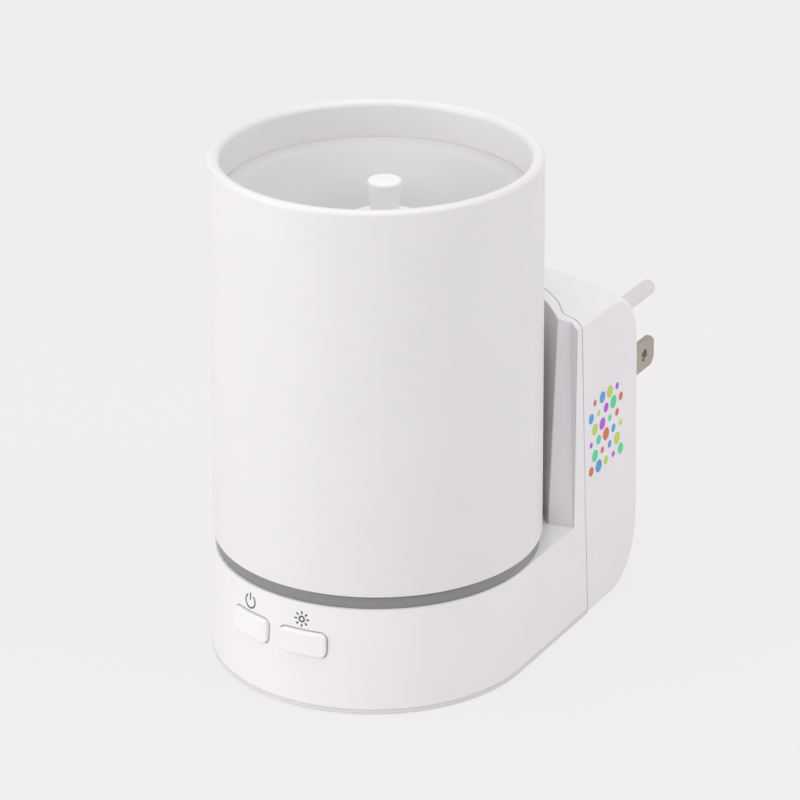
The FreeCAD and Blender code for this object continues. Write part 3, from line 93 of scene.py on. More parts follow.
@dataclass(frozen=True)
class Finish:
    """A surface finish: its colour, gloss, worked pattern, how softly its edges catch the light, and any painted
    light that lightens it toward a rim.
    """

    title: str
    colour: Colour
    roughness: float = 0.4
    metallic: float = 0.0
    pattern: Pattern = Pattern.MOULDED
    grain: float = 0.7
    depth: float = 0.008
    mottle: float = 0.03
    edge: float = 0.3
    coat: float = 0.0
    # Painted light toward the rim: a lighter colour, and the radii in millimetres over which it comes in.
    painted_rim_light: Colour | None = None
    painted_rim_span: Flat = (0, 1)

    def material(self) -> bpy.types.Material:
        """The material of this finish, built on first use."""
        known = bpy.data.materials.get(self.title)
        return known if known else self._build()

    def _build(self) -> bpy.types.Material:
        """Builds the material's nodes.

        Returns:
            The new material.
        """
        material = bpy.data.materials.new(self.title)
        material.use_nodes = True
        nodes, links = material.node_tree.nodes, material.node_tree.links
        shader = nodes["Principled BSDF"]
        shader.inputs["Metallic"].default_value = self.metallic
        shader.inputs["Coat Weight"].default_value = self.coat
        shader.inputs["Coat Roughness"].default_value = COAT_ROUGHNESS
        height = self._pattern(nodes, links)

        cloud = nodes.new("ShaderNodeTexNoise")
        cloud.inputs["Scale"].default_value = CLOUD_SCALE
        cloud.inputs["Detail"].default_value = CLOUD_DETAIL
        links.new(self._place(nodes, links, (1, 1, 1)), cloud.inputs["Vector"])

        ground = self._toward(nodes, links, None, tuple(part * (1 - self.mottle) for part in self.colour),
                              self._ranged(nodes, links, cloud.outputs["Fac"], TINT_PART, (0, 1)))
        # Painted light: from the inner to the outer radius of the span, the colour lightens toward the rim's lighter
        # colour.
        if self.painted_rim_light:
            spoke = nodes.new("ShaderNodeVectorMath")
            spoke.operation = "LENGTH"
            links.new(self._place(nodes, links, (1, 1, 0)), spoke.inputs[0])
            span = tuple(part * MM for part in self.painted_rim_span)
            ground = self._toward(nodes, links, ground, self.painted_rim_light,
                                  self._ranged(nodes, links, spoke.outputs["Value"], span, (0, 1)))
        if self.pattern in (Pattern.TRACKS, Pattern.WOVEN, Pattern.SPECKLED):
            lighter = tuple(min(1.0, part * RAISED_GAIN + RAISED_LIFT) for part in self.colour)
            ground = self._toward(nodes, links, ground, lighter,
                                  self._ranged(nodes, links, height, RAISED_PART, (0, RAISED_SHARE)))
        links.new(ground, shader.inputs["Base Color"])
        dullness = (self.roughness * GLOSS_SHARE[0], min(1.0, self.roughness * GLOSS_SHARE[1]))
        links.new(self._ranged(nodes, links, cloud.outputs["Fac"], GLOSS_PART, dullness), shader.inputs["Roughness"])

        rounding = nodes.new("ShaderNodeBevel")
        rounding.samples = EDGE_SAMPLES
        rounding.inputs["Radius"].default_value = self.edge * MM
        bump = nodes.new("ShaderNodeBump")
        bump.inputs["Distance"].default_value = self.depth * MM
        bump.inputs["Strength"].default_value = 1.0
        links.new(height, bump.inputs["Height"])
        links.new(rounding.outputs["Normal"], bump.inputs["Normal"])
        links.new(bump.outputs["Normal"], shader.inputs["Normal"])
        return material

    def _toward(self, nodes: bpy.types.Nodes, links: bpy.types.NodeLinks, start: bpy.types.NodeSocket | None,
                end: Colour, share: bpy.types.NodeSocket) -> bpy.types.NodeSocket:
        """A colour that moves from one to another.

        Args:
            nodes: The material's nodes.
            links: The material's links.
            start: The socket with the first colour, or None for the finish's own.
            end: The second colour.
            share: The socket with the second colour's share.

        Returns:
            The socket with the mixed colour.
        """
        mix = nodes.new("ShaderNodeMix")
        mix.data_type = "RGBA"
        if start:
            links.new(start, mix.inputs[6])
        else:
            mix.inputs[6].default_value = (*self.colour, 1)
        mix.inputs[7].default_value = (*end, 1)
        links.new(share, mix.inputs[0])
        return mix.outputs[2]

    def _place(self, nodes: bpy.types.Nodes, links: bpy.types.NodeLinks, stretch: Corner) -> bpy.types.NodeSocket:
        """Where a point of the surface lies, stretched along each axis.

        Args:
            nodes: The material's nodes.
            links: The material's links.
            stretch: How much finer the pattern is along X, Y and Z.

        Returns:
            The socket that gives the stretched place.
        """
        place = nodes.new("ShaderNodeTexCoord")
        mapping = nodes.new("ShaderNodeMapping")
        mapping.inputs["Scale"].default_value = stretch
        links.new(place.outputs["Object"], mapping.inputs["Vector"])
        return mapping.outputs["Vector"]

    def _ranged(self, nodes: bpy.types.Nodes, links: bpy.types.NodeLinks, value: bpy.types.NodeSocket,
                given: Flat, wanted: Flat) -> bpy.types.NodeSocket:
        """A value moved from one range to another.

        Args:
            nodes: The material's nodes.
            links: The material's links.
            value: The socket with the value.
            given: The range that it has.
            wanted: The range that it gets.

        Returns:
            The socket with the moved value.
        """
        span = nodes.new("ShaderNodeMapRange")
        for name, number in zip(("From Min", "From Max", "To Min", "To Max"), (*given, *wanted)):
            span.inputs[name].default_value = number
        links.new(value, span.inputs["Value"])
        return span.outputs["Result"]

    def _pattern(self, nodes: bpy.types.Nodes, links: bpy.types.NodeLinks) -> bpy.types.NodeSocket:
        """The height of the worked surface, from 0 to 1.

        Args:
            nodes: The material's nodes.
            links: The material's links.

        Returns:
            The socket that gives the height.
        """
        scale = 1 / (self.grain * MM)
        if self.pattern is Pattern.TURNED:
            rings = nodes.new("ShaderNodeTexWave")
            rings.wave_type = "RINGS"
            rings.rings_direction = "Z"
            rings.inputs["Scale"].default_value = scale / 20
            rings.inputs["Distortion"].default_value = 0.6
            links.new(self._place(nodes, links, (1, 1, 1)), rings.inputs["Vector"])
            return rings.outputs["Fac"]
        if self.pattern in (Pattern.TRACKS, Pattern.WOVEN):
            rows = nodes.new("ShaderNodeTexBrick")
            rows.inputs["Color1"].default_value = (1, 1, 1, 1)
            rows.inputs["Color2"].default_value = (0.55, 0.55, 0.55, 1)
            rows.inputs["Mortar"].default_value = (0, 0, 0, 1)
            rows.inputs["Scale"].default_value = scale / 4
            rows.inputs["Mortar Size"].default_value = 0.03
            links.new(self._place(nodes, links, (1, 1, 1)), rows.inputs["Vector"])
            return rows.outputs["Color"]
        if self.pattern is Pattern.SPECKLED:
            specks = nodes.new("ShaderNodeTexVoronoi")
            specks.inputs["Scale"].default_value = scale
            links.new(self._place(nodes, links, (1, 1, 1)), specks.inputs["Vector"])
            return specks.outputs["Distance"]
        stretch = (1, 1, BRUSHED_STRETCH) if self.pattern is Pattern.BRUSHED else (1, 1, 1)
        grain = nodes.new("ShaderNodeTexNoise")
        grain.inputs["Scale"].default_value = scale
        grain.inputs["Detail"].default_value = GRAIN_DETAIL
        links.new(self._place(nodes, links, stretch), grain.inputs["Vector"])
        return grain.outputs["Fac"]


SHELL = Finish("shell plastic", (0.84, 0.825, 0.84), roughness=0.42, mottle=0.02, edge=0.6)
SHADE = Finish("shade plastic", (0.80, 0.785, 0.80), roughness=0.4, edge=0.3, grain=1.1, depth=0.006, mottle=0.015)
# The bottom plate is the shell's white plastic, painted darker as painted shade for its inset edge under the base.
SHADED_PLATE = Finish("foot plastic", (0.72, 0.71, 0.72), roughness=0.5, mottle=0.02, edge=0.3)
RING = Finish("ring plastic", (0.255, 0.255, 0.26), roughness=0.36, mottle=0.05)
# The dish's lighter outer zone is painted light: it lifts the shade on its curved wall and softens the dark crease at
# its rim.
DISH = Finish("dish coat", (0.545, 0.55, 0.543), roughness=0.42, grain=1.4, depth=0.004, mottle=0.02,
              painted_rim_light=(0.64, 0.626, 0.638), painted_rim_span=(18, 35))
POST = Finish("post plastic", (0.89, 0.875, 0.89), roughness=0.35)
BUTTON = Finish("button plastic", (0.88, 0.865, 0.88), roughness=0.33, edge=0.5)
CARRIER = Finish("carrier plastic", (0.62, 0.61, 0.62), roughness=0.5)
CONTACT = Finish("nickelled brass", (0.47, 0.43, 0.365), 0.27, 1.0, Pattern.BRUSHED, 0.5, 0.004, 0.1, edge=0.45)
PIN = Finish("satin nickel", (0.80, 0.79, 0.80), 0.3, 1.0, Pattern.BRUSHED, 0.5, 0.003, 0.05)
GREEN = Finish("board lacquer", (0.03, 0.16, 0.07), 0.3, pattern=Pattern.TRACKS, grain=1.2, depth=0.02, coat=0.3)
WHITE = Finish("lamp board lacquer", (0.78, 0.79, 0.78), 0.3, pattern=Pattern.TRACKS, grain=1.6, depth=0.02, coat=0.3)
CORE = Finish("transformer tape", (0.55, 0.43, 0.08), 0.35, pattern=Pattern.WOVEN, grain=1.5, depth=0.03)
BLACK = Finish("black resin", (0.02, 0.02, 0.022), 0.4, mottle=0.15)
LENS = Finish("lamp lens", (0.80, 0.74, 0.42), 0.12, coat=0.6, mottle=0.06)
LEAD = Finish("white lead", (0.75, 0.74, 0.73), 0.45, mottle=0.06)
DARK_LEAD = Finish("black lead", (0.025, 0.025, 0.028), 0.42, mottle=0.1)
PLATE = Finish("turned aluminium", (0.74, 0.74, 0.75), 0.28, 1.0, Pattern.TURNED, 0.8, 0.01, 0.05)
ELEMENT = Finish("heater ceramic", (0.16, 0.15, 0.14), 0.6, pattern=Pattern.SPECKLED, grain=0.8, depth=0.03)
FIBRE = Finish("pad fibre", (0.68, 0.66, 0.60), 0.9, pattern=Pattern.WOVEN, grain=1.0, depth=0.12, mottle=0.12)
PAN = Finish("pressed steel", (0.56, 0.57, 0.58), 0.35, 1.0, Pattern.BRUSHED, 0.9, 0.008, 0.08)
COLUMN = Finish("column resin", (0.62, 0.55, 0.42), 0.5, grain=0.9, depth=0.02, mottle=0.06)
STEEL = Finish("screw steel", (0.52, 0.53, 0.55), 0.3, 1.0, Pattern.TURNED, 0.6, 0.006, 0.1)
PRINT = Finish("grey print", (0.10, 0.10, 0.11), 0.55, mottle=0.1, edge=0.05)

CARRIED: dict[str, Finish] = {
    "base_housing": SHELL, "bottom_plate": SHADED_PLATE, "rear_cover": SHELL, "plug_carrier": CARRIER,
    "blade_live": CONTACT, "blade_neutral": CONTACT, "earth_pin": PIN, "heater_plate": PLATE,
    "heater_element": ELEMENT, "insulation_pad": FIBRE, "heater_pan": PAN, "pan_rivets": STEEL,
    "thermal_cutout": PAN, "heater_column": COLUMN, "lamp_board": WHITE, "lamps": LENS,
    "power_plunger": BLACK, "light_plunger": BLACK,
    "power_switch": BLACK, "light_switch": BLACK, "control_board": GREEN, "control_chip": BLACK,
    "power_board": GREEN, "transformer": CORE, "capacitors": BLACK, "heater_leads": LEAD,
    "mains_leads": DARK_LEAD, "control_ribbon": LEAD, "lamp_leads": LEAD, "shade_screws": STEEL,
    "column_screws": STEEL, "lamp_board_screws": STEEL, "control_board_screws": STEEL,
    "power_board_screws": STEEL,
}


def rounded(corners: list[Corner], closed: bool, steps: int = 8) -> list[Flat]:
    """An outline with its corners turned into arcs.

    Args:
        corners: Each corner's place and its rounding.
        closed: Whether the last corner meets the first.
        steps: Parts of each arc.

    Returns:
        The points of the outline.
    """
    line: list[Flat] = []
    for index, (across, height, radius) in enumerate(corners):
        here = Vector((across, height))
        if radius <= 0 or not closed and index in (0, len(corners) - 1):
            line.append((across, height))
            continue
        before = (Vector(corners[index - 1][:2]) - here).normalized()
        after = (Vector(corners[(index + 1) % len(corners)][:2]) - here).normalized()
        half = before.angle(after) / 2
        middle = here + (before + after).normalized() * (radius / math.sin(half))
        start = here + before * (radius / math.tan(half)) - middle
        turn = start.angle_signed(here + after * (radius / math.tan(half)) - middle)
        for step in range(steps + 1):
            spoke = start.copy()
            spoke.rotate(Matrix.Rotation(-turn * step / steps, 2))
            line.append(tuple(middle + spoke))
    return line


def mesh_of(name: str, points: list[Corner], faces: list[tuple[int, ...]], sharp: float = 35) -> bpy.types.Mesh:
    """A smooth-shaded mesh, in metres, from points in millimetres.

    Args:
        name: The mesh's name.
        points: Its points.
        faces: Its faces, as the numbers of their points.
        sharp: The angle in degrees above which an edge stays sharp.

    Returns:
        The mesh.
    """
    mesh = bpy.data.meshes.new(name)
    mesh.from_pydata([tuple(part * MM for part in point) for point in points], [], faces)
    shape = bmesh.new()
    shape.from_mesh(mesh)
    bmesh.ops.remove_doubles(shape, verts=shape.verts, dist=MM / 1000)
    bmesh.ops.recalc_face_normals(shape, faces=shape.faces)
    shape.to_mesh(mesh)
    shape.free()
    mesh.shade_smooth()
    mesh.set_sharp_from_angle(angle=math.radians(sharp))
    return mesh


def turned(name: str, corners: list[Corner], centre: Flat = (0, 0), segments: int = 240) -> bpy.types.Mesh:
    """A form turned about an upright axis.

    Args:
        name: The mesh's name.
        corners: The profile's corners as radius, height and rounding; it is closed unless it ends on the axis.
        centre: Where the axis stands.
        segments: Parts of the turn.

    Returns:
        The mesh.
    """
    closed = corners[0][0] > 0
    line = rounded(corners, closed)
    count = len(line)
    points = [(centre[0] + radius * math.cos(angle), centre[1] + radius * math.sin(angle), height)
              for angle in (math.tau * part / segments for part in range(segments)) for radius, height in line]
    faces = []
    for part in range(segments):
        here, there = part * count, (part + 1) % segments * count
        for index in range(count if closed else count - 1):
            after = (index + 1) % count
            ring = [here + index, there + index, there + after, here + after]
            if not closed and index == 0:
                ring.remove(there)
            if not closed and index == count - 2:
                ring.remove(there + after)
            faces.append(tuple(ring))
    return mesh_of(name, points, faces)


def dress(piece_name: str, mesh: bpy.types.Mesh, finish: Finish, body: str = "warmer",
          instead_of: tuple[str, ...] = ()) -> bpy.types.Object:
    """Puts a piece into the scene, with its finish, on the body that carries it.

    Args:
        piece_name: The piece's name.
        mesh: Its mesh.
        finish: Its finish.
        body: The body that it moves with.
        instead_of: The solids that it stands for.

    Returns:
        The piece.
    """
    piece = bpy.data.objects.new(piece_name, mesh)
    bpy.context.scene.collection.objects.link(piece)
    mesh.materials.append(finish.material())
    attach(piece, body)
    if instead_of:
        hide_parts(*instead_of)
    log.info("%s: %d faces, rides on %s", piece_name, len(mesh.polygons), body)
    return piece


@dataclass
class Shade:
    """The tall shade with its rolled lip, the ledge that carries the dish, and the grey band below."""

    foot: float = 30.35
    top: float = 127.7
    radius: float = 40.0
    foot_radius: float = 40.38
    wall: float = 3.1
    ledge: float = 116.8
    ledge_width: float = 2.5
    flange_bore: float = 33.0
    flange: float = 3.0
    band_radius: float = 39.66
    band_bore: float = 33.4
    deck: float = 27.1
    groove: float = 0.35
    lip_rounding: Flat = (1.25, 1.75)
    foot_rounding: float = 0.35
    ledge_rounding: float = 0.5
    ledge_drop: Flat = (2.4, 4.9)
    flange_rounding: Flat = (0.6, 0.3)
    band_rounding: Flat = (0.15, 0.2)

    def build(self) -> None:
        """Builds the shade and the band."""
        bore = self.radius - self.wall
        inner, soft = bore - self.ledge_width, self.ledge_rounding
        dress("shade_shell", turned("shade_shell", [
            (self.flange_bore, self.foot, 0), (self.foot_radius, self.foot, self.foot_rounding),
            (self.radius, self.top, self.lip_rounding[0]), (bore, self.top, self.lip_rounding[1]),
            (bore, self.ledge, soft), (inner, self.ledge, soft),
            (inner, self.ledge - self.ledge_drop[0], self.flange_rounding[1]),
            (bore, self.ledge - self.ledge_drop[1], soft),
            (bore, self.foot + self.flange, self.flange_rounding[0]),
            (self.flange_bore, self.foot + self.flange, self.flange_rounding[1])]),
            SHADE, instead_of=("shade",))
        lip = self.band_radius - self.groove
        dress("band", turned("band", [
            (self.band_bore, self.deck, 0), (self.band_radius, self.deck, self.band_rounding[0]),
            (self.band_radius, self.foot - self.groove, self.band_rounding[1]), (lip, self.foot - self.groove, 0),
            (lip, self.foot, 0), (self.band_bore, self.foot, 0)]), RING, instead_of=("accent_ring",))


@dataclass
class WaxDish:
    """The lift-out dish and its lifting post."""

    rim: float = 36.83
    outside: float = 34.1
    wall: float = 1.6
    rim_height: float = 1.3
    rim_rounding: Flat = (0.15, 0.2)
    mouth: Corner = (33.2, 0.8, 3.0)
    bowl: float = 25.0
    bowl_curve: float = 18.0
    post_place: Flat = (1.8, 1.0)
    post_foot: Corner = (10.6, 1.2, 0.2)
    post_shoulder: Flat = (0.7, 0.4)
    post_neck: Corner = (3.1, 0.3, 0.9)
    post_head: Flat = (4.25, 0.8)
    post_segments: int = 128

    def build(self) -> None:
        """Builds the dish and the post between the heights that their solids have."""
        low, high = (corner[2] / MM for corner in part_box("wax_dish"))
        floor = low + self.wall
        dress("dish", turned("dish", [
            (0, floor, 0), (self.bowl, floor, self.bowl_curve), (self.mouth[0], high - self.mouth[1], self.mouth[2]),
            (self.rim, high, self.rim_rounding[0]), (self.rim, high - self.rim_height, self.rim_rounding[1]),
            (self.outside, high - self.rim_height, 0), (self.bowl - self.wall / 2, low, self.bowl_curve + self.wall),
            (0, low, 0)]), DISH, "wax_dish", ("wax_dish",))
        low, high = (corner[2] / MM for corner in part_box("dish_post"))
        foot, thick, soft = self.post_foot
        dress("lift_post", turned("lift_post", [
            (0, low, 0), (foot, low, soft), (foot - self.post_shoulder[0], low + thick, self.post_shoulder[1]),
            (self.post_neck[0], low + thick + self.post_neck[1], self.post_neck[2]),
            (self.post_head[0], high, self.post_head[1]), (0, high, 0)],
            self.post_place, self.post_segments), POST, "wax_dish", ("dish_post",))


@dataclass
class BaseWall:
    """The drafted wall of the base and riser, and the small marks printed on it."""

    half_width: float = 40.4
    draft: float = 0.95
    foot_lead: float = 1.9
    deck_lead: float = 0.4
    plate: float = 1.2
    deck: float = 27.1
    proud: float = 0.03
    stroke: float = 0.42
    power_mark: Flat = (-110.05, 23.05)
    power_ring: Flat = (1.72, -0.2)
    power_opening: float = 34.0
    power_bar: tuple[float, ...] = (0.1, 1.0, 1.95)
    light_mark: Flat = (-87.1, 22.9)
    sun_core: float = 0.66
    sun_ray: Flat = (1.25, 2.0)
    sun_rays: int = 8

    def half(self, height: float) -> float:
        """Half the width at a height."""
        return self.half_width - height * math.tan(math.radians(self.draft))

    def lead(self, height: float) -> float:
        """How far forward the centre of the round front lies at a height."""
        return self.foot_lead + (self.deck_lead - self.foot_lead) * (height - self.plate) / (self.deck - self.plate)

    def on_front(self, mark: Flat, across: float, up: float) -> Corner:
        """A point just off the round front.

        Args:
            mark: The mark's bearing and height.
            across: How far to the right of the mark's middle.
            up: How far above it.

        Returns:
            The point.
        """
        height = mark[1] + up
        radius = self.half(height) + self.proud
        angle = math.radians(mark[0]) + across / radius
        return radius * math.cos(angle), radius * math.sin(angle) - self.lead(height), height

    def printed(self, name: str, mark: Flat, strokes: list[list[Flat]]) -> None:
        """Prints a mark made of strokes.

        Args:
            name: The piece's name.
            mark: The mark's bearing and height.
            strokes: The middle line of each stroke.
        """
        points: list[Corner] = []
        faces: list[tuple[int, ...]] = []
        for line in strokes:
            first = len(points)
            for index, (across, up) in enumerate(line):
                ahead = Vector(line[min(index + 1, len(line) - 1)]) - Vector(line[max(index - 1, 0)])
                aside = Vector((-ahead.y, ahead.x)).normalized() * self.stroke / 2
                points += [self.on_front(mark, across + aside.x, up + aside.y),
                           self.on_front(mark, across - aside.x, up - aside.y)]
            faces += [(first + 2 * part, first + 2 * part + 1, first + 2 * part + 3, first + 2 * part + 2)
                      for part in range(len(line) - 1)]
        dress(name, mesh_of(name, points, faces), PRINT)

    def build(self) -> None:
        """Prints the power mark and the sun mark above the buttons."""
        gap = math.radians(self.power_opening)
        radius, rise = self.power_ring
        arc = [gap + (math.tau - 2 * gap) * part / 40 for part in range(41)]
        self.printed("power_mark", self.power_mark, [
            [(radius * math.sin(angle), radius * math.cos(angle) + rise) for angle in arc],
            [(0, height) for height in self.power_bar]])
        rays = [math.tau * part / self.sun_rays for part in range(self.sun_rays)]
        ring = [math.tau * part / 32 for part in range(33)]
        self.printed("sun_mark", self.light_mark, [
            [(self.sun_core * math.cos(angle), self.sun_core * math.sin(angle)) for angle in ring],
            *[[(reach * math.cos(angle), reach * math.sin(angle)) for reach in self.sun_ray] for angle in rays]])


@dataclass
class PushButton:
    """A push button whose cap fills its opening but for a hair line."""

    node: str
    solid: bpy.types.Object
    inward: Corner
    growth: float = 0.13
    cap_back: float = 38.8

    def build(self) -> None:
        """Grows the cap of the button's solid sideways and upward, and dresses it."""
        mesh = self.solid.data.copy()
        mesh.materials.clear()
        inward, up = Vector(self.inward), Vector((0, 0, 1))
        aside = inward.cross(up)
        cap = [point for point in mesh.vertices if point.co.dot(inward) < -self.cap_back * MM]
        for way in (aside, up):
            reach = [point.co.dot(way) for point in cap]
            middle, half = (max(reach) + min(reach)) / 2, (max(reach) - min(reach)) / 2
            for point, place in zip(cap, reach):
                point.co += way * ((place - middle) / half * self.growth * MM)
        dress(f"{self.node}_cap", mesh, BUTTON, self.node, (self.node,))


@dataclass
class SideDots:
    """The patch of plain coloured dots on the side of the rear cover."""

    wall: BaseWall
    middle: Flat = (47.2, 48.0)
    reach: Flat = (10.0, 9.6)
    pitch: float = 4.1
    row_share: float = 0.87
    dot: Flat = (1.25, 0.45)
    dot_sides: int = 32
    proud: float = 0.03
    colours: int = 5
    hue: Flat = (0.02, 0.19)
    strength: Flat = (0.86, 0.70)

    def build(self) -> None:
        """Builds one piece for each colour."""
        rise = self.pitch * self.row_share
        rows = int(2 * self.reach[1] / rise) + 1
        columns = int(2 * self.reach[0] / self.pitch) + 1
        for colour in range(self.colours):
            points: list[Corner] = []
            faces: list[tuple[int, ...]] = []
            for row in range(rows):
                for column in range(columns - row % 2):
                    if (row * 2 + column * 3) % self.colours != colour:
                        continue
                    back = self.middle[0] - self.reach[0] + self.pitch * (column + row % 2 / 2)
                    height = self.middle[1] - self.reach[1] + rise * row
                    radius = self.dot[0] + self.dot[1] * math.sin(row * 2.3 + column * 1.7)
                    faces.append(tuple(range(len(points), len(points) + self.dot_sides)))
                    for part in range(self.dot_sides):
                        angle = math.tau * part / self.dot_sides
                        up = height + radius * math.sin(angle)
                        points.append((self.wall.half(up) + self.proud, back + radius * math.cos(angle), up))
            tone = colorsys.hsv_to_rgb(self.hue[0] + colour * self.hue[1], *self.strength)
            finish = Finish(f"dot print {colour + 1}", tone, 0.5, mottle=0.08, edge=0.05)
            dress(f"dots_{colour + 1}", mesh_of(f"dots_{colour + 1}", points, faces), finish)


class Facing(Enum):
    """Which way a row of screw heads faces."""

    DOWN = "down"
    BACK = "back"


@dataclass
class CrossScrews:
    """A set of screws with a domed head and a cross recess."""

    node: str
    solid: bpy.types.Object
    facing: Facing
    head_radius: float = 2.7
    head_height: float = 1.0
    head_rounding: Flat = (0.2, 0.3)
    dome: Corner = (0.55, 0.35, 2.5)
    shank_radius: float = 1.5
    tip_rounding: float = 0.4
    slot_width: float = 0.62
    slot_length: float = 3.1
    slot_depth: float = 0.75
    segments: int = 48

    def places(self) -> list[tuple[Vector, Vector]]:
        """The lowest and highest corner of each screw's solid, in millimetres.

        Returns:
            One pair for each screw.
        """
        shape = bmesh.new()
        shape.from_mesh(self.solid.data)
        bmesh.ops.remove_doubles(shape, verts=shape.verts, dist=MM / 100)
        left = set(shape.verts)
        found = []
        while left:
            wave, island = [left.pop()], []
            while wave:
                here = wave.pop()
                island.append(here.co / MM)
                near = {edge.other_vert(here) for edge in here.link_edges} & left
                left -= near
                wave.extend(near)
            found.append((Vector([min(point[axis] for point in island) for axis in range(3)]),
                          Vector([max(point[axis] for point in island) for axis in range(3)])))
        shape.free()
        return sorted(found, key=lambda pair: tuple(pair[0]))

    def build(self) -> None:
        """Builds the screws in the places of their solids."""
        shape = bmesh.new()
        for low, high in self.places():
            middle = (low + high) / 2
            if self.facing is Facing.DOWN:
                length, tip = high.z - low.z, Vector((middle.x, middle.y, high.z))
                turn = Matrix.Rotation(math.pi, 4, "X")
            else:
                length, tip = high.y - low.y, Vector((middle.x, low.y, middle.z))
                turn = Matrix.Rotation(-math.pi / 2, 4, "X")
            screw = self._one(length)
            screw.transform(Matrix.Translation(tip * MM) @ turn)
            shape.from_mesh(screw)
        mesh = bpy.data.meshes.new(f"{self.node}_cross")
        shape.to_mesh(mesh)
        shape.free()
        mesh.shade_smooth()
        mesh.set_sharp_from_angle(angle=math.radians(30))
        dress(f"{self.node}_cross", mesh, STEEL, instead_of=(self.node,))

    def _one(self, length: float) -> bpy.types.Mesh:
        """One screw that stands on its tip, with the recess cut into its head.

        Args:
            length: From tip to head.

        Returns:
            The mesh.
        """
        under = length - self.head_height
        whole = turned(f"{self.node}_blank", [
            (0, 0, 0), (self.shank_radius, 0, self.tip_rounding), (self.shank_radius, under, 0),
            (self.head_radius, under, self.head_rounding[0]),
            (self.head_radius, length - self.dome[1], self.head_rounding[1]),
            (self.head_radius * self.dome[0], length, self.dome[2]), (0, length, 0)], segments=self.segments)
        blank = bpy.data.objects.new(f"{self.node}_blank", whole)
        bpy.context.scene.collection.objects.link(blank)
        cutters = []
        for across, along in ((self.slot_length, self.slot_width), (self.slot_width, self.slot_length)):
            low, high = length - self.slot_depth, length + 1
            points = [(side * across / 2, end * along / 2, height)
                      for height in (low, high) for side, end in ((-1, -1), (1, -1), (1, 1), (-1, 1))]
            box = mesh_of(f"{self.node}_slot", points, [(0, 1, 2, 3), (4, 5, 6, 7), (0, 1, 5, 4), (1, 2, 6, 5),
                                                        (2, 3, 7, 6), (3, 0, 4, 7)])
            cutter = bpy.data.objects.new(f"{self.node}_slot", box)
            bpy.context.scene.collection.objects.link(cutter)
            cut = blank.modifiers.new("slot", "BOOLEAN")
            cut.operation = "DIFFERENCE"
            cut.solver = "EXACT"
            cut.object = cutter
            cutters.append(cutter)
        bpy.context.view_layer.update()
        mesh = bpy.data.meshes.new_from_object(blank.evaluated_get(bpy.context.evaluated_depsgraph_get()))
        for scrap in (blank, *cutters):
            bpy.data.objects.remove(scrap)
        return mesh


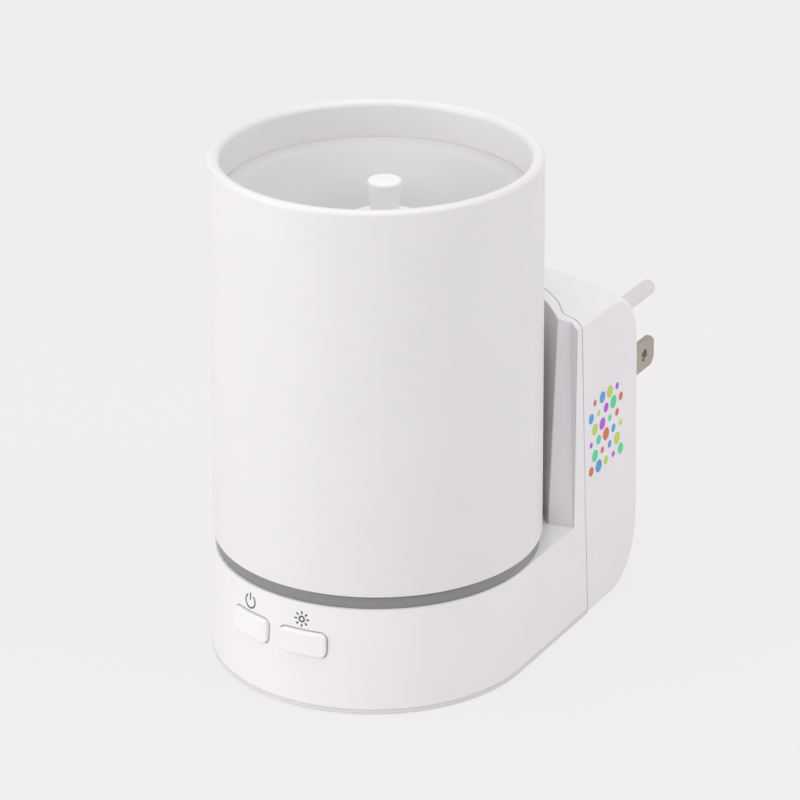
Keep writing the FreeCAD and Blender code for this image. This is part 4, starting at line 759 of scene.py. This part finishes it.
@dataclass
class Studio:
    """The pale floor, soft lights and the camera at the photograph's viewing angle."""

    around: float = 29.4
    above: float = 23.69
    roll: float = -0.2566
    target: Corner = (5.476, 0.0, 63.789)
    distance: float = 0.9219
    lens: float = 170.95
    sensor: float = 36.0
    ground: Colour = (0.879, 0.855, 0.879)
    paper: Colour = (0.80, 0.785, 0.80)
    glow: float = 0.9
    floor_reach: float = 3.0
    floor_drop: float = 0.0003
    sky: float = 0.60
    sky_colour: Colour = (1.0, 0.985, 1.0)
    lamp_aim: Corner = (0, 0, 0.06)
    lamps: dict[str, tuple[Corner, float, float]] = field(default_factory=lambda: {
        "key": ((-0.68, -1.02, 0.35), 0.7, 5.5),
        "fill": ((1.2, 0.4, 0.4), 0.8, 1.4),
        "top": ((-0.05, -0.2, 1.3), 1.0, 5.4),
        "side_top": ((0.8, 0.0, 1.1), 0.6, 2.6)})

    def camera(self) -> None:
        """Places the camera."""
        around, above, roll = (math.radians(angle) for angle in (self.around, self.above, self.roll))
        target = Vector((self.target[0] * math.cos(around), self.target[0] * math.sin(around), self.target[2])) * MM
        back = Vector((math.sin(around) * math.cos(above), -math.cos(around) * math.cos(above), math.sin(above)))
        right = Vector((math.cos(around), math.sin(around), 0))
        up = back.cross(right)
        turned_right = right * math.cos(roll) + up * math.sin(roll)
        turned_up = up * math.cos(roll) - right * math.sin(roll)
        camera = bpy.data.objects.new("camera", bpy.data.cameras.new("camera"))
        bpy.context.scene.collection.objects.link(camera)
        place = Matrix((turned_right, turned_up, back)).transposed().to_4x4()
        place.translation = target + back * self.distance
        camera.matrix_world = place
        camera.data.lens = self.lens
        camera.data.sensor_width = self.sensor
        bpy.context.scene.camera = camera

    def lights(self) -> None:
        """Hangs the lamps and sets the sky."""
        for name, (place, size, power) in self.lamps.items():
            lamp = bpy.data.objects.new(name, bpy.data.lights.new(name, "AREA"))
            lamp.data.size = size
            lamp.data.energy = power
            lamp.location = place
            lamp.rotation_euler = (Vector(self.lamp_aim) - lamp.location).to_track_quat("-Z", "Y").to_euler()
            bpy.context.scene.collection.objects.link(lamp)
        world = bpy.data.worlds.new("studio")
        world.use_nodes = True
        bpy.context.scene.world = world
        nodes, links = world.node_tree.nodes, world.node_tree.links
        sky = nodes["Background"]
        sky.inputs["Color"].default_value = (*self.sky_colour, 1)
        sky.inputs["Strength"].default_value = self.sky
        seen = nodes.new("ShaderNodeBackground")
        seen.inputs["Color"].default_value = (*self.ground, 1)
        mix = nodes.new("ShaderNodeMixShader")
        links.new(self._seen(nodes, links), mix.inputs[0])
        links.new(sky.outputs[0], mix.inputs[1])
        links.new(seen.outputs[0], mix.inputs[2])
        links.new(mix.outputs[0], nodes["World Output"].inputs["Surface"])

    def floor(self) -> None:
        """Lays the pale floor that keeps a soft shadow."""
        mesh = bpy.data.meshes.new("floor")
        mesh.from_pydata([(side * self.floor_reach, end * self.floor_reach, -self.floor_drop)
                          for side, end in ((-1, -1), (1, -1), (1, 1), (-1, 1))], [], [(0, 1, 2, 3)])
        floor = bpy.data.objects.new("floor", mesh)
        bpy.context.scene.collection.objects.link(floor)
        material = bpy.data.materials.new("floor")
        material.use_nodes = True
        nodes, links = material.node_tree.nodes, material.node_tree.links
        paper = nodes["Principled BSDF"]
        paper.inputs["Base Color"].default_value = (*self.paper, 1)
        paper.inputs["Roughness"].default_value = 1
        glow = nodes.new("ShaderNodeEmission")
        glow.inputs["Color"].default_value = (*self.ground, 1)
        share = nodes.new("ShaderNodeMath")
        share.operation = "MULTIPLY"
        share.inputs[1].default_value = self.glow
        mix = nodes.new("ShaderNodeMixShader")
        links.new(self._seen(nodes, links), share.inputs[0])
        links.new(share.outputs[0], mix.inputs[0])
        links.new(paper.outputs[0], mix.inputs[1])
        links.new(glow.outputs[0], mix.inputs[2])
        links.new(mix.outputs[0], nodes["Material Output"].inputs["Surface"])
        mesh.materials.append(material)

    def _seen(self, nodes: bpy.types.Nodes, links: bpy.types.NodeLinks) -> bpy.types.NodeSocket:
        """Whether a ray comes from the camera, a reflection or through glass.

        Args:
            nodes: The tree's nodes.
            links: The tree's links.

        Returns:
            The socket, 1 where it does.
        """
        path = nodes.new("ShaderNodeLightPath")
        total = path.outputs["Is Camera Ray"]
        for name in ("Is Glossy Ray", "Is Transmission Ray"):
            either = nodes.new("ShaderNodeMath")
            either.operation = "MAXIMUM"
            links.new(total, either.inputs[0])
            links.new(path.outputs[name], either.inputs[1])
            total = either.outputs[0]
        return total

    def build(self) -> None:
        """Sets up the whole studio."""
        self.camera()
        self.lights()
        self.floor()
        bpy.context.scene.view_settings.view_transform = "Standard"


def carry_over(solids: Solids) -> None:
    """Gives the solids that show as they are their finishes.

    Args:
        solids: The CAD nodes by name.
    """
    for name, finish in CARRIED.items():
        solids[name].data.materials.clear()
        solids[name].data.materials.append(finish.material())
        log.info("%s: %s", name, finish.title)


def main() -> None:
    """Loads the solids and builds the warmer's pieces in order."""
    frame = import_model()
    solids: Solids = frame["nodes"]
    carry_over(solids)
    wall = BaseWall()
    for part in (Shade(), WaxDish(), wall,
                 PushButton("power_button", solids["power_button"], (0.332161, 0.943223, 0)),
                 PushButton("light_button", solids["light_button"], (-0.059306, 0.99824, 0)), SideDots(wall),
                 CrossScrews("plate_screws", solids["plate_screws"], Facing.DOWN),
                 CrossScrews("cover_screws", solids["cover_screws"], Facing.BACK, head_height=1.6), Studio()):
        part.build()
        log.info("%s built", type(part).__name__)


if __name__ == "__main__":
    logging.basicConfig(level=logging.INFO)
    main()
